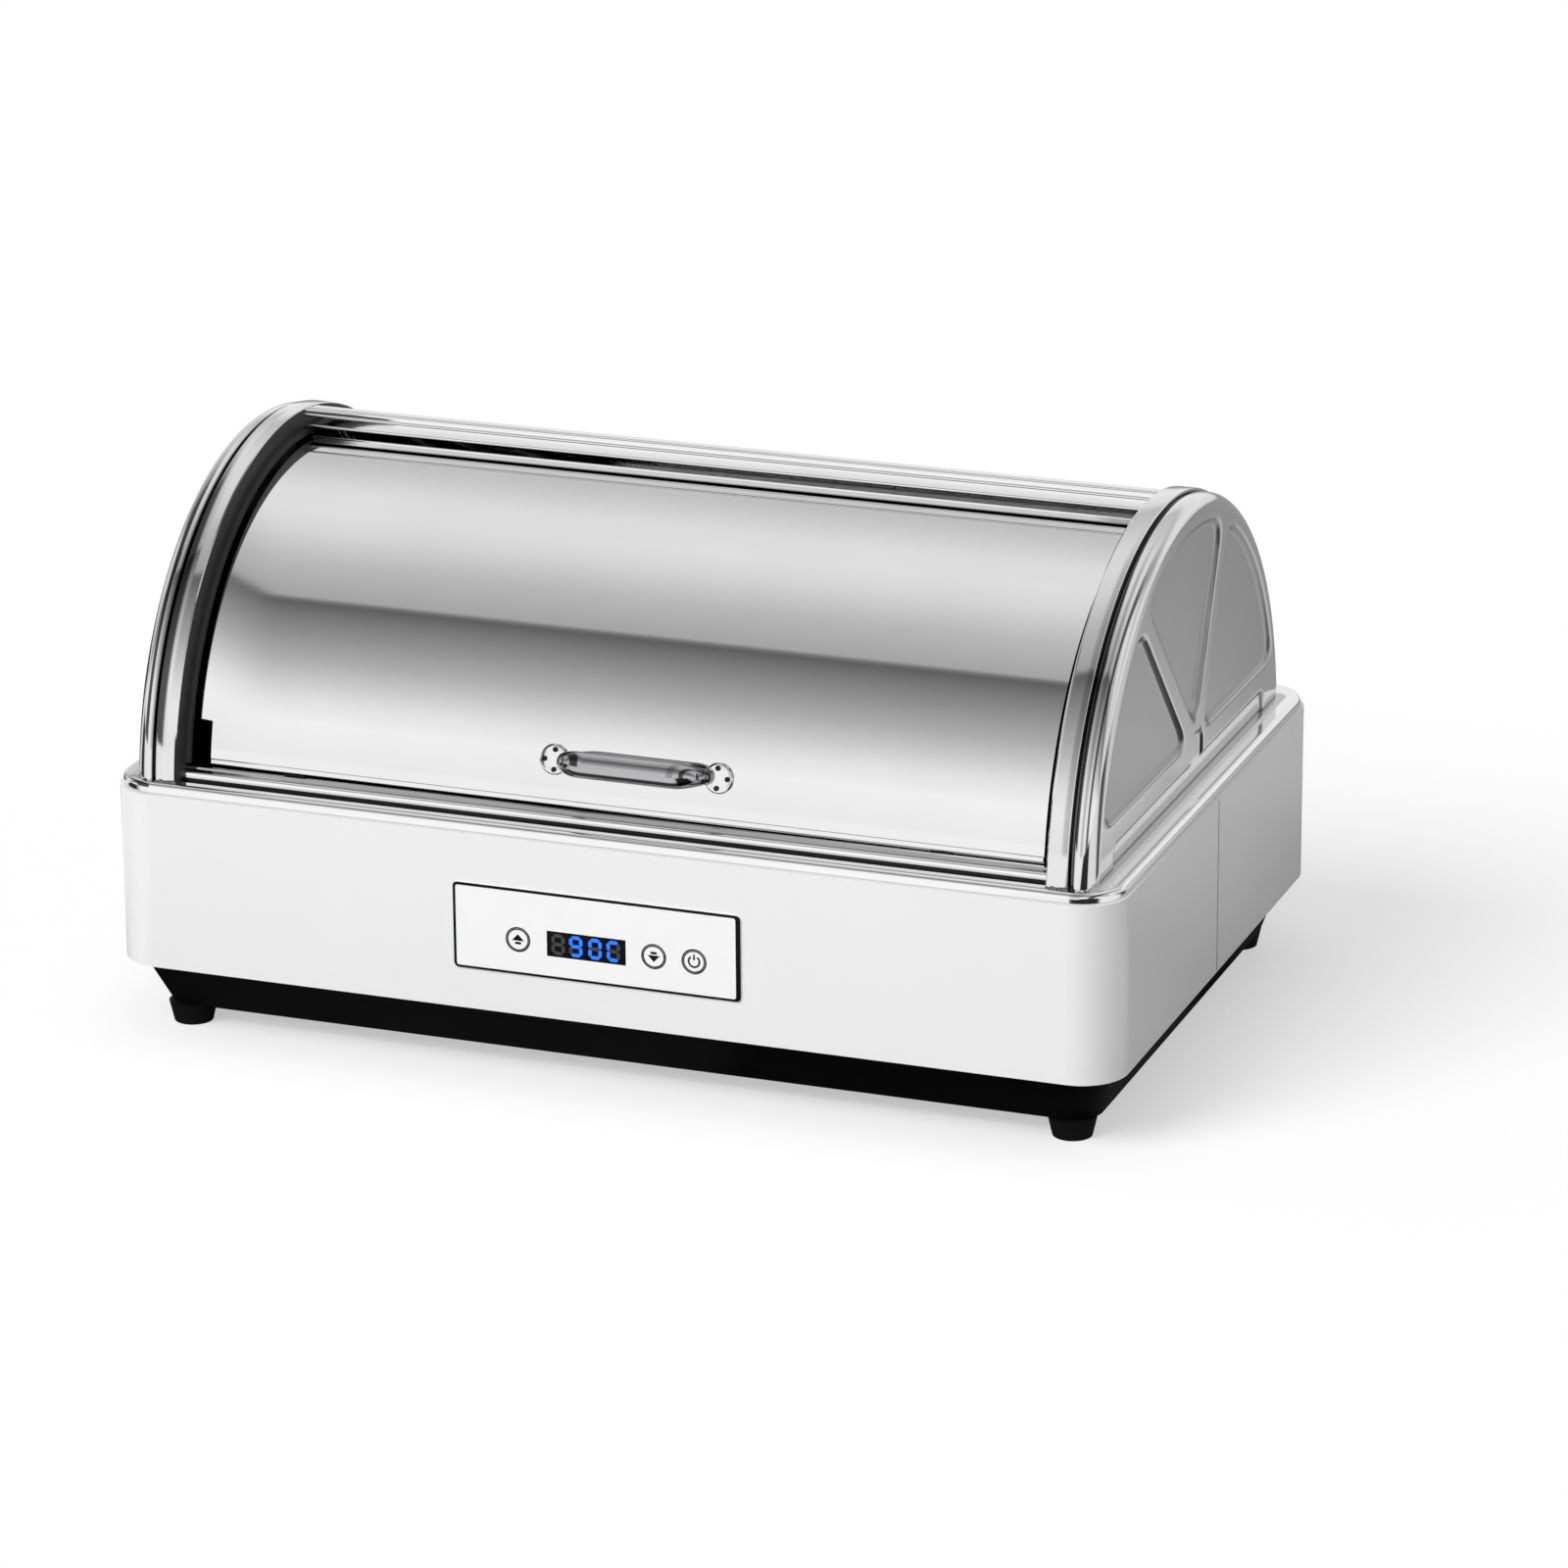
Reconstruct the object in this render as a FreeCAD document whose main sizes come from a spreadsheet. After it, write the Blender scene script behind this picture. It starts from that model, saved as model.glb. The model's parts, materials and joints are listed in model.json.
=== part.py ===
# Roll-top electric chafing dish: a white heated base with a stainless rim, two pressed D-shaped end caps,
# a rear cover and a front lid that rolls up and back under the crossbar. Millimetres, +Z up, front at -Y,
# origin on the table under the middle of the base. "Sides" run along X.

import FreeCAD, Part
import math
import os
import re
import Sketcher
from FreeCAD import Placement, Rotation, Vector

doc = FreeCAD.newDocument("ChafingDish")

# Driving dimensions
SIZES = {
    # overall reach
    "housing_width": 560.0,
    "housing_depth": 358.4,
    "housing_corner": 25.0,
    "housing_height": 97.0,
    "housing_wall": 1.0,
    "housing_flange": 18.0,
    "seam_gap": 0.4,
    "strip_half": 12.0,
    "strip_wall": 1.2,
    "strip_margin": 3.0,
    # feet and lower tray
    "foot_height": 11.0,
    "foot_top_radius": 13.0,
    "foot_base_radius": 10.5,
    "foot_inset_side": 32.0,
    "foot_inset_front": 32.5,
    "foot_recess_radius": 4.6,
    "foot_recess_depth": 5.0,
    "tray_height": 29.0,
    "tray_wall": 2.0,
    "tray_top_inset": 9.0,
    "tray_base_inset_side": 18.0,
    "tray_base_inset_front": 24.0,
    "tray_flange": 14.0,
    "tray_corner": 16.0,
    "vent_length": 60.0,
    "vent_width": 5.0,
    "vent_pitch": 14.0,
    "vent_count": 7,
    # fasteners
    "screw_radius": 2.0,
    "screw_head_radius": 3.6,
    "screw_head_height": 2.2,
    "nut_radius": 3.8,
    "nut_height": 3.0,
    "boss_radius": 6.0,
    "boss_height": 6.0,
    # rim
    "rim_inset": 2.0,
    "rim_band": 6.0,
    "rim_sheet": 1.0,
    "rim_round": 3.0,
    "rim_corner": 23.0,
    "well_margin_side": 31.0,
    "well_margin_front": 26.2,
    "well_corner": 20.0,
    "well_drop": 30.0,
    "well_ledge": 13.0,
    "stud_inset": 9.5,
    # pans
    "pan_sheet": 1.0,
    "pan_slip": 4.0,
    "pan_lip": 16.0,
    "pan_corner": 30.0,
    "pan_draft": 8.0,
    "water_depth": 55.0,
    "food_step": 5.0,
    "food_depth": 46.0,
    # arch, lid and end caps
    "arch_centre": -6.0,
    "arch_margin": 22.4,
    "pivot_drop": 11.0,
    "band_margin": 39.0,
    "band_width": 12.0,
    "cap_groove": 2.0,
    "cap_groove_depth": 4.0,
    "cap_bead": 6.0,
    "cap_bead_drop": 1.5,
    "cap_edge_drop": 6.0,
    "cap_edge": 3.5,
    "cap_sheet": 1.0,
    "cap_ring": 11.0,
    "cap_foot": 6.0,
    "field_raise": 1.5,
    "field_inset": 13.0,
    "field_base": 11.0,
    "field_round": 4.0,
    "stem_half": 10.0,
    "stem_height": 15.0,
    "panel_sink": 2.0,
    "sunk_inset": 21.0,
    "panel_base": 25.0,
    "panel_round": 8.0,
    "rib_half": 6.5,
    "rib_lean_front": 42.5,
    "rib_lean_rear": 23.0,
    "hub_place": 11.0,
    "hub_drop": 7.0,
    "seal_width": 3.0,
    "seal_gap": 2.0,
    "lid_inset": 16.0,
    "lid_side_gap": 6.0,
    "lid_sheet": 1.0,
    "lid_lift": 1.9,
    "hem_depth": 2.6,
    "hem_angle": 1.0,
    "notch_width": 7.0,
    "notch_angle": 8.8,
    "lid_past": 2.5,
    "lid_lip": 3.0,
    "bar_place": 10.0,
    "bar_gap": 5.0,
    "bar_wall": 1.4,
    "bar_ridge": 0.9,
    "bar_ridge_drop": 2.8,
    "bar_ridge_turn": 5.3,
    "bar_lip": 1.1,
    "bar_angle": 9.0,
    "cover_inset": 7.0,
    "cover_sheet": 1.0,
    "cover_foot": 7.0,
    "sill_width": 12.0,
    "sill_height": 5.0,
    "bumper_gap": 0.5,
    "bumper_width": 12.0,
    "bumper_depth": 5.0,
    "bumper_inset": 55.0,
    "arm_sheet": 1.5,
    "arm_inset": 1.5,
    "arm_rib": 10.0,
    "arm_half": 9.0,
    "arm_angle": 53.0,
    "eye_radius": 10.0,
    "pin_radius": 4.0,
    "pin_shoulder": 7.0,
    "pin_fit": 0.05,
    "pin_stub": 3.0,
    "pin_head": 5.0,
    "pin_head_height": 1.5,
    "pin_gap": 0.4,
    "bush_wall": 2.0,
    "bush_flange": 9.0,
    "bush_lip": 2.0,
    "bracket_sheet": 1.5,
    "bracket_half": 20.0,
    "bracket_below": 10.0,
    "bracket_reach": 14.0,
    "bracket_clear": 0.5,
    # handle
    "handle_place": 12.0,
    "handle_half": 45.5,
    "handle_angle": 15.8,
    "handle_thick": 8.0,
    "handle_tall": 14.0,
    "handle_ear": 6.5,
    "handle_reach": 20.0,
    "handle_bend": 11.0,
    "rosette_radius": 8.2,
    "rosette_height": 1.4,
    "rivet_radius": 0.9,
    "rivet_head": 1.4,
    "rivet_rise": 0.7,
    "rivet_seat": 0.02,
    "rivet_circle": 5.2,
    # control panel
    "panel_centre": -1.0,
    "panel_rise": 46.4,
    "panel_width": 160.0,
    "panel_height": 47.4,
    "panel_corner": 3.0,
    "overlay": 0.8,
    "window_offset": -5.5,
    "window_rise": 42.0,
    "window_width": 44.0,
    "window_height": 14.0,
    "key_radius": 6.1,
    "key_slip": 0.35,
    "key_flange": 7.4,
    "key_plate": 1.2,
    "key_gap": 0.3,
    "key_stem": 2.0,
    "key_travel": 0.8,
    "key_rest": 0.3,
    "key_up_offset": -43.7,
    "key_down_offset": 32.0,
    "key_power_offset": 54.3,
    "board_gap": 12.0,
    "board_sheet": 1.6,
    "board_width": 150.0,
    "board_height": 42.0,
    "post_radius": 3.0,
    "post_inset": 5.0,
    "switch_half": 3.0,
    "switch_height": 5.0,
    "module_margin": 2.0,
    "relay_place": -10.0,
    "relay_width": 28.0,
    "relay_height": 16.0,
    "relay_depth": 14.0,
    # heating parts
    "element_radius": 3.3,
    "element_margin_side": 28.0,
    "element_margin_front": 41.0,
    "shield_gap": 11.0,
    "shield_sheet": 1.0,
    "shield_margin_side": 11.0,
    "shield_margin_front": 5.0,
    "shield_post_inset": 12.0,
    "rest_length": 12.0,
    "rest_width": 10.0,
    "cutout_radius": 8.0,
    "cutout_height": 7.0,
    "probe_radius": 2.5,
    "probe_length": 26.0,
    "probe_place": 90.0,
    "clip_side": 8.0,
    "terminal_length": 42.0,
    "terminal_width": 18.0,
    "terminal_height": 16.0,
    "terminal_place": -60.0,
    "terminal_inset": 65.2,
    # mains inlet
    "inlet_inset": 80.0,
    "inlet_rise": 48.0,
    "inlet_width": 28.0,
    "inlet_height": 20.0,
    "inlet_depth": 20.0,
    "inlet_wall": 2.0,
    "inlet_mouth": 6.0,
    "inlet_flange_width": 50.0,
    "inlet_flange_height": 24.0,
    "inlet_rivet_inset": 5.0,
    "inlet_rivet": 1.5,
    "inlet_rivet_head": 2.8,
    "inlet_blade": 2.0,
    "inlet_blade_pitch": 7.0,
    "inlet_blade_offset": 4.0,
    "slot_count": 8,
    "slot_width": 3.0,
    "slot_height": 30.0,
    "slot_pitch": 9.0,
    "slot_inset": 70.0,
}

sheet = doc.addObject("Spreadsheet::Sheet", "Sizes")
for row, (name, number) in enumerate(SIZES.items(), start=1):
    sheet.set("A%d" % row, name)
    sheet.set("B%d" % row, str(number))
    sheet.setAlias("B%d" % row, name)
doc.recompute()

# Heights, reaches and places that several pieces share
RULES = {
    "BASE": "foot_height + tray_height",
    "TOP": "BASE + housing_height",
    "DECK": "TOP + rim_band",
    "FRONT": "-housing_depth / 2",
    "INSIDE": "FRONT + housing_wall",
    "WELL_X": "housing_width / 2 - well_margin_side",
    "WELL_Y": "housing_depth / 2 - well_margin_front",
    "LEDGE": "DECK - well_drop",
    "FLOOR_X": "WELL_X - pan_slip - pan_lip - pan_draft",
    "FLOOR_Y": "WELL_Y - pan_slip - pan_lip - pan_draft",
    "WATER_BASE": "LEDGE + pan_sheet - water_depth",
    "SHIELD": "WATER_BASE - 2 * element_radius - shield_gap",
    "ELEMENT_PITCH": "(FLOOR_Y - element_margin_front) * 2 / 3",
    "ELEMENT_LENGTH": "2 * (FLOOR_X - element_margin_side) - ELEMENT_PITCH",
    "CENTRE": "DECK - pivot_drop",
    "ARCH": "(housing_depth - arch_margin) / 2",
    "BAND": "housing_width / 2 - band_margin",
    "FACE": "BAND + band_width + cap_groove + cap_bead + cap_edge + field_raise",
    "LID": "ARCH - lid_inset",
    "LID_X": "BAND - lid_side_gap",
    "COVER": "ARCH - cover_inset",
    "LOW_SINE": "(pivot_drop + sill_height + lid_lift) / (LID - hem_depth)",
    "SILL_BACK": "arch_centre - (LID - hem_depth) * sqrt(1 - LOW_SINE ^ 2)",
    "LEG": "WELL_X - bracket_clear - bracket_sheet",
    "BORE": "pin_radius + pin_fit",
    "ARM_OUTSIDE": "LID_X - arm_inset",
    "WINDOW_X": "panel_centre + window_offset",
    "WINDOW_Z": "BASE + window_rise",
    "PANEL_Z": "BASE + panel_rise",
    "BOARD": "INSIDE + board_gap",
    "INLET_X": "housing_width / 2 - inlet_inset",
    "INLET_Z": "BASE + inlet_rise",
}

WORD = re.compile(r"[A-Za-z][A-Za-z_]*[A-Za-z]")
finished = []


def size(name):
    """The number in the sheet's cell of that name."""
    return float(sheet.get(name))


def tied(text):
    """A rule written with the names above, as an expression for FreeCAD."""
    def spelled(word):
        name = word.group(0)
        if name in RULES:
            return "(%s)" % tied(RULES[name])
        return "Sizes." + name if name in SIZES else name
    return WORD.sub(spelled, str(text))


def bind(thing, **rules):
    for prop, rule in rules.items():
        thing.setExpression(prop, tied(rule))
    return thing


def place(thing, x=0, y=0, z=0, rotation=None):
    """Put a thing at a point whose coordinates are rules, turned by a fixed rotation."""
    if rotation is not None:
        thing.Placement = Placement(Vector(0, 0, 0), rotation)
    for axis, rule in (("x", x), ("y", y), ("z", z)):
        thing.setExpression("Placement.Base." + axis, tied(rule))
    return thing


def keep(thing, label):
    """Make a thing one of the sub-parts, under the name of its file."""
    thing.Label = label
    finished.append(thing)
    return thing


SIDES = (("left", -1), ("right", 1))
ALONG_X = Rotation(Vector(0, 1, 0), 90)
ALONG_Y = Rotation(Vector(1, 0, 0), -90)
UPRIGHT = Rotation()

levels = doc.addObject("App::VarSet", "Levels")


def measured(rule):
    """The value of a rule, for the few angles and outlines that need a plain number."""
    name = "level_%d" % len(levels.PropertiesList)
    levels.addProperty("App::PropertyFloat", name)
    levels.setExpression(name, tied(rule))
    levels.recompute()
    return float(getattr(levels, name))


# Plain solids

def box(name, length, width, height, x, y, z):
    thing = doc.addObject("Part::Box", name)
    bind(thing, Length=length, Width=width, Height=height)
    return place(thing, x, y, z)


def rod(name, radius, length, x, y, z, turn=UPRIGHT):
    thing = doc.addObject("Part::Cylinder", name)
    bind(thing, Radius=radius, Height=length)
    return place(thing, x, y, z, turn)


def cone(name, low, high, height, x, y, z):
    thing = doc.addObject("Part::Cone", name)
    bind(thing, Radius1=low, Radius2=high, Height=height)
    return place(thing, x, y, z)


def fuse(name, parts):
    thing = doc.addObject("Part::MultiFuse", name)
    thing.Shapes = parts
    thing.Refine = True
    return thing


def cut(name, base, tools):
    thing = doc.addObject("Part::Cut", name)
    thing.Base = base
    thing.Tool = tools[0] if len(tools) == 1 else fuse(name + "_tools", tools)
    return thing


def group(name, parts):
    thing = doc.addObject("Part::Compound", name)
    thing.Links = parts
    return thing


def sector(name, radius, low_angle, sweep, half):
    """A slice of a cylinder about the lid's axis, from an angle above the front, between x = -half and half."""
    thing = doc.addObject("Part::Cylinder", name)
    bind(thing, Radius=radius, Height="2 * (%s)" % half, Angle=sweep)
    facing = Rotation(Vector(0, -1, 0), Vector(0, 0, 1), Vector(-1, 0, 0), "ZXY")
    turn = facing.multiply(Rotation(Vector(0, 0, 1), low_angle))
    return place(thing, half, "arch_centre", "CENTRE", turn)


def curved_sheet(name, outer, inner, low_angle, sweep, half):
    skin = sector(name + "_outer", outer, low_angle, sweep, half)
    core = rod(name + "_core", inner, "2 * (%s) + 2" % half, "-(%s) - 1" % half, "arch_centre", "CENTRE", ALONG_X)
    return cut(name, skin, [core])


# Sketched solids

def new_body(name):
    body = doc.addObject("PartDesign::Body", name)
    doc.recompute()
    return body


def new_sketch(body, name, role="XY_Plane", z=0):
    sketch = body.newObject("Sketcher::SketchObject", name)
    plane = [origin for origin in body.Origin.OriginFeatures if origin.Role == role][0]
    sketch.AttachmentSupport = [(plane, "")]
    sketch.MapMode = "FlatFace"
    sketch.setExpression("AttachmentOffset.Base.z", tied(z))
    return sketch


def rule_for(sketch, constraint, rule):
    number = sketch.addConstraint(constraint)
    sketch.renameConstraint(number, "size%d" % number)
    sketch.setExpression("Constraints.size%d" % number, tied(rule))


def add_rectangle(sketch, half_x, half_y, cx="0", cy="0"):
    """A rectangle whose half sides and centre are rules."""
    first = sketch.GeometryCount
    corners = [Vector(-9, -7, 0), Vector(9, -7, 0), Vector(9, 7, 0), Vector(-9, 7, 0)]
    for start, end in zip(corners, corners[1:] + corners[:1]):
        sketch.addGeometry(Part.LineSegment(start, end), False)
    for step in range(4):
        after = first + (step + 1) % 4
        sketch.addConstraint(Sketcher.Constraint("Coincident", first + step, 2, after, 1))
    for line in (first, first + 2):
        sketch.addConstraint(Sketcher.Constraint("Horizontal", line))
    for line in (first + 1, first + 3):
        sketch.addConstraint(Sketcher.Constraint("Vertical", line))
    rule_for(sketch, Sketcher.Constraint("DistanceX", first, 1, first, 2, 18), "2 * (%s)" % half_x)
    rule_for(sketch, Sketcher.Constraint("DistanceY", first + 1, 1, first + 1, 2, 14), "2 * (%s)" % half_y)
    rule_for(sketch, Sketcher.Constraint("DistanceX", -1, 1, first + 1, 1, 9), "%s + (%s)" % (cx, half_x))
    rule_for(sketch, Sketcher.Constraint("DistanceY", -1, 1, first + 2, 1, 7), "%s + (%s)" % (cy, half_y))


def add_rounded(sketch, half_x, half_y, radius, cx="0", cy="0"):
    """A rectangle with round corners whose half sides, radius and centre are rules."""
    first = sketch.GeometryCount
    wide, deep, bend = 90.0, 70.0, 10.0
    corners = [(wide, -deep, -90), (wide, deep, 0), (-wide, deep, 90), (-wide, -deep, 180)]
    starts = [(-wide, -deep - bend), (wide + bend, -deep), (wide, deep + bend), (-wide - bend, deep)]
    ends = [(wide, -deep - bend), (wide + bend, deep), (-wide, deep + bend), (-wide - bend, -deep)]
    for start, end, corner in zip(starts, ends, corners):
        sketch.addGeometry(Part.LineSegment(Vector(*start, 0), Vector(*end, 0)), False)
        round_corner = Part.Circle(Vector(corner[0], corner[1], 0), Vector(0, 0, 1), bend)
        low = math.radians(corner[2])
        sketch.addGeometry(Part.ArcOfCircle(round_corner, low, low + math.pi / 2), False)
    for step in range(0, 8, 2):
        after = first + (step + 2) % 8
        sketch.addConstraint(Sketcher.Constraint("Tangent", first + step, 2, first + step + 1, 1))
        sketch.addConstraint(Sketcher.Constraint("Tangent", first + step + 1, 2, after, 1))
    for line in (first, first + 4):
        sketch.addConstraint(Sketcher.Constraint("Horizontal", line))
    for line in (first + 2, first + 6):
        sketch.addConstraint(Sketcher.Constraint("Vertical", line))
    for arc in (first + 3, first + 5, first + 7):
        sketch.addConstraint(Sketcher.Constraint("Equal", first + 1, arc))
    rule_for(sketch, Sketcher.Constraint("Radius", first + 1, bend), radius)
    reach_x = "((%s) - (%s))" % (half_x, radius)
    reach_y = "((%s) - (%s))" % (half_y, radius)
    rule_for(sketch, Sketcher.Constraint("DistanceX", -1, 1, first + 1, 3, wide), cx + " + " + reach_x)
    rule_for(sketch, Sketcher.Constraint("DistanceY", -1, 1, first + 3, 3, deep), cy + " + " + reach_y)
    rule_for(sketch, Sketcher.Constraint("DistanceX", first + 7, 3, first + 1, 3, 2 * wide), "2 * " + reach_x)
    rule_for(sketch, Sketcher.Constraint("DistanceY", first + 1, 3, first + 3, 3, 2 * deep), "2 * " + reach_y)


def pad(body, sketch, length, backwards=False):
    feature = body.newObject("PartDesign::Pad", sketch.Name + "_pad")
    feature.Profile = sketch
    feature.Reversed = backwards
    return bind(feature, Length=length)


def pocket(body, sketch, length, upwards=False):
    feature = body.newObject("PartDesign::Pocket", sketch.Name + "_pocket")
    feature.Profile = sketch
    feature.Reversed = upwards
    return bind(feature, Length=length)


def loft(body, name, kind, low, high):
    feature = body.newObject("PartDesign::" + kind, name)
    feature.Profile = low
    feature.Sections = [high]
    return feature


def rounded_sketch(body, name, half_x, half_y, radius, z, cy="0"):
    sketch = new_sketch(body, name, z=z)
    add_rounded(sketch, half_x, half_y, radius, cy=cy)
    return sketch


def finish_body(body, label):
    doc.recompute()
    return keep(body, label)


# Housing: two folded sheet wraps that meet at the middle of each side

def housing_shell(name, far_side):
    """A wrap with a flange turned in at top and bottom, less the half on the far side of the seam."""
    body = new_body(name)
    wall = rounded_sketch(body, name + "_wall", "housing_width / 2", "housing_depth / 2", "housing_corner", "BASE")
    pad(body, wall, "housing_height")
    mouth = rounded_sketch(body, name + "_mouth", "housing_width / 2 - housing_flange",
                           "housing_depth / 2 - housing_flange", "housing_corner - housing_flange", "TOP")
    pocket(body, mouth, "housing_height")
    inside = rounded_sketch(body, name + "_inside", "housing_width / 2 - housing_wall",
                            "housing_depth / 2 - housing_wall", "housing_corner - housing_wall",
                            "TOP - housing_wall")
    pocket(body, inside, "housing_height - 2 * housing_wall")
    other = new_sketch(body, name + "_other_half", z="TOP")
    middle = "%d * housing_depth / 2 - %d * seam_gap / 2" % (far_side, far_side)
    add_rectangle(other, "housing_width / 2", "housing_depth / 2", cy=middle)
    pocket(body, other, "housing_height")
    return body


def key_places():
    return {name: "(panel_centre + %s_offset)" % name for name in ("key_up", "key_down", "key_power")}


def make_housing_front():
    shell = housing_shell("front_wrap", 1)
    tools = [box("front_wrap_window", "window_width", "4 * housing_wall", "window_height",
                 "WINDOW_X - window_width / 2", "FRONT - 2 * housing_wall",
                 "WINDOW_Z - window_height / 2")]
    for name, where in key_places().items():
        tools.append(rod(name + "_front_hole", "key_radius + key_slip", "4 * housing_wall", where,
                         "FRONT - 2 * housing_wall", "WINDOW_Z", ALONG_Y))
    tools += flange_holes("front_wrap", -1)
    return keep(cut("housing_front_cut", shell, tools), "housing_front")


def make_housing_rear():
    shell = housing_shell("rear_wrap", -1)
    tools = [box("rear_wrap_inlet", "inlet_width", "4 * housing_wall", "inlet_height",
                 "INLET_X - inlet_width / 2", "housing_depth / 2 - 2 * housing_wall",
                 "INLET_Z - inlet_height / 2")]
    for step in range(int(size("slot_count"))):
        tools.append(box("rear_slot_%d" % (step + 1), "slot_width", "4 * housing_wall", "slot_height",
                         "slot_inset - housing_width / 2 + %d * slot_pitch" % step,
                         "housing_depth / 2 - 2 * housing_wall", "INLET_Z - slot_height / 2"))
    for number, side in enumerate((-1, 1), start=1):
        tools.append(rod("inlet_hole_%d" % number, "inlet_rivet", "4 * housing_wall", inlet_rivet_x(side),
                         "housing_depth / 2 - 2 * housing_wall", "INLET_Z", ALONG_Y))
    tools += flange_holes("rear_wrap", 1)
    return keep(cut("housing_rear_cut", shell, tools), "housing_rear")


def inlet_rivet_x(side):
    return "INLET_X + %d * (inlet_flange_width / 2 - inlet_rivet_inset)" % side


def rail_places():
    """Where the rim's studs and the tray's screws stand: four along each long side, one at each end."""
    return [(across, side) for side in (-1, 1) for across in (-0.4, -0.14, 0.14, 0.4)]


def stud_x(across):
    return "%g * housing_width" % across


def stud_y(side):
    return "%d * (housing_depth / 2 - stud_inset)" % side


def flange_holes(name, side):
    holes = []
    for number, (across, facing) in enumerate(rail_places(), start=1):
        if facing == side:
            holes.append(rod("%s_stud_hole_%d" % (name, number), "screw_radius", "4 * housing_wall",
                             stud_x(across), stud_y(facing), "TOP - 2 * housing_wall"))
            holes.append(rod("%s_tray_hole_%d" % (name, number), "screw_radius", "4 * housing_wall",
                             stud_x(across), tray_screw_y(facing), "BASE - 2 * housing_wall"))
    return holes


def tray_screw_y(side):
    return "%d * (housing_depth - tray_top_inset - tray_wall - housing_flange) / 2" % side


def make_seam_strips():
    strips = []
    for name, corner in (("left", "-housing_width / 2 + housing_wall"),
                         ("right", "housing_width / 2 - housing_wall - strip_wall")):
        strips.append(box("seam_strip_" + name, "strip_wall", "2 * strip_half",
                          "housing_height - 2 * (housing_wall + strip_margin)", corner, "-strip_half",
                          "BASE + housing_wall + strip_margin"))
    return keep(group("seam_strip_pair", strips), "seam_strips")


# Lower tray with vents, and the four feet

def make_base_tray():
    body = new_body("tray")
    low = rounded_sketch(body, "tray_low", "housing_width / 2 - tray_base_inset_side",
                         "housing_depth / 2 - tray_base_inset_front", "tray_corner", "foot_height")
    high = rounded_sketch(body, "tray_high", "housing_width / 2 - tray_top_inset",
                          "housing_depth / 2 - tray_top_inset", "tray_corner", "BASE")
    loft(body, "tray_outside", "AdditiveLoft", low, high)
    floor = rounded_sketch(body, "tray_floor", "housing_width / 2 - tray_base_inset_side - tray_wall",
                           "housing_depth / 2 - tray_base_inset_front - tray_wall",
                           "tray_corner - tray_wall", "foot_height + tray_wall")
    under = rounded_sketch(body, "tray_under", "housing_width / 2 - tray_top_inset - tray_wall",
                           "housing_depth / 2 - tray_top_inset - tray_wall", "tray_corner - tray_wall",
                           "BASE - tray_wall")
    loft(body, "tray_inside", "SubtractiveLoft", floor, under)
    mouth = rounded_sketch(body, "tray_mouth", "housing_width / 2 - tray_top_inset - tray_flange",
                           "housing_depth / 2 - tray_top_inset - tray_flange", "tray_corner - tray_wall", "BASE")
    pocket(body, mouth, "tray_wall")
    bosses = []
    holes = []
    for number, (x, y) in enumerate(foot_places(), start=1):
        bosses.append(rod("tray_boss_%d" % number, "boss_radius", "boss_height", x, y, "foot_height + tray_wall"))
        holes.append(rod("tray_foot_hole_%d" % number, "screw_radius", "2 * boss_height", x, y,
                         "foot_height - tray_wall"))
    for number, (across, side) in enumerate(rail_places(), start=1):
        holes.append(rod("tray_rail_hole_%d" % number, "screw_radius", "3 * tray_wall", stud_x(across),
                         tray_screw_y(side), "BASE - 2 * tray_wall"))
    for side in (-1, 1):
        for step in range(int(size("vent_count"))):
            holes.append(box("tray_vent_%d_%d" % (side + 2, step), "vent_width", "vent_length", "3 * tray_wall",
                             "(%d - (vent_count - 1) / 2) * vent_pitch - vent_width / 2" % step,
                             "%d * vent_length - vent_length / 2" % side, "foot_height - tray_wall"))
    whole = fuse("tray_with_bosses", [body] + bosses)
    return keep(cut("tray_drilled", whole, holes), "base_tray")


def foot_places():
    along = "(housing_width / 2 - foot_inset_side)"
    deep = "(housing_depth / 2 - foot_inset_front)"
    return [("%d * %s" % (across, along), "%d * %s" % (side, deep)) for side in (-1, 1) for across in (-1, 1)]


def make_feet():
    names = ["foot_front_left", "foot_front_right", "foot_rear_left", "foot_rear_right"]
    screws = []
    for name, (x, y) in zip(names, foot_places()):
        outside = cone(name + "_cone", "foot_base_radius", "foot_top_radius", "foot_height", x, y, "0")
        recess = rod(name + "_recess", "foot_recess_radius", "foot_recess_depth", x, y, "0")
        hole = rod(name + "_hole", "screw_radius", "foot_height", x, y, "0")
        keep(cut(name + "_cut", outside, [recess, hole]), name)
        head = rod(name + "_screw_head", "screw_head_radius", "screw_head_height", x, y,
                   "foot_recess_depth - screw_head_height")
        shank = rod(name + "_screw_shank", "screw_radius", "foot_height - foot_recess_depth + boss_height", x, y,
                    "foot_recess_depth")
        screws.append(fuse(name + "_screw", [head, shank]))
    keep(group("foot_screw_set", screws), "foot_screws")


def make_tray_screws():
    screws = []
    for number, (across, side) in enumerate(rail_places(), start=1):
        where = (stud_x(across), tray_screw_y(side))
        head = rod("tray_screw_head_%d" % number, "screw_head_radius", "screw_head_height", where[0], where[1],
                   "BASE + housing_wall")
        shank = rod("tray_screw_shank_%d" % number, "screw_radius", "tray_wall + 2 * housing_wall", where[0],
                    where[1], "BASE - tray_wall - housing_wall")
        screws.append(fuse("tray_screw_%d" % number, [head, shank]))
    keep(group("tray_screw_set", screws), "tray_screws")


# Rim: band, deck, well and ledge pressed from one sheet

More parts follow.
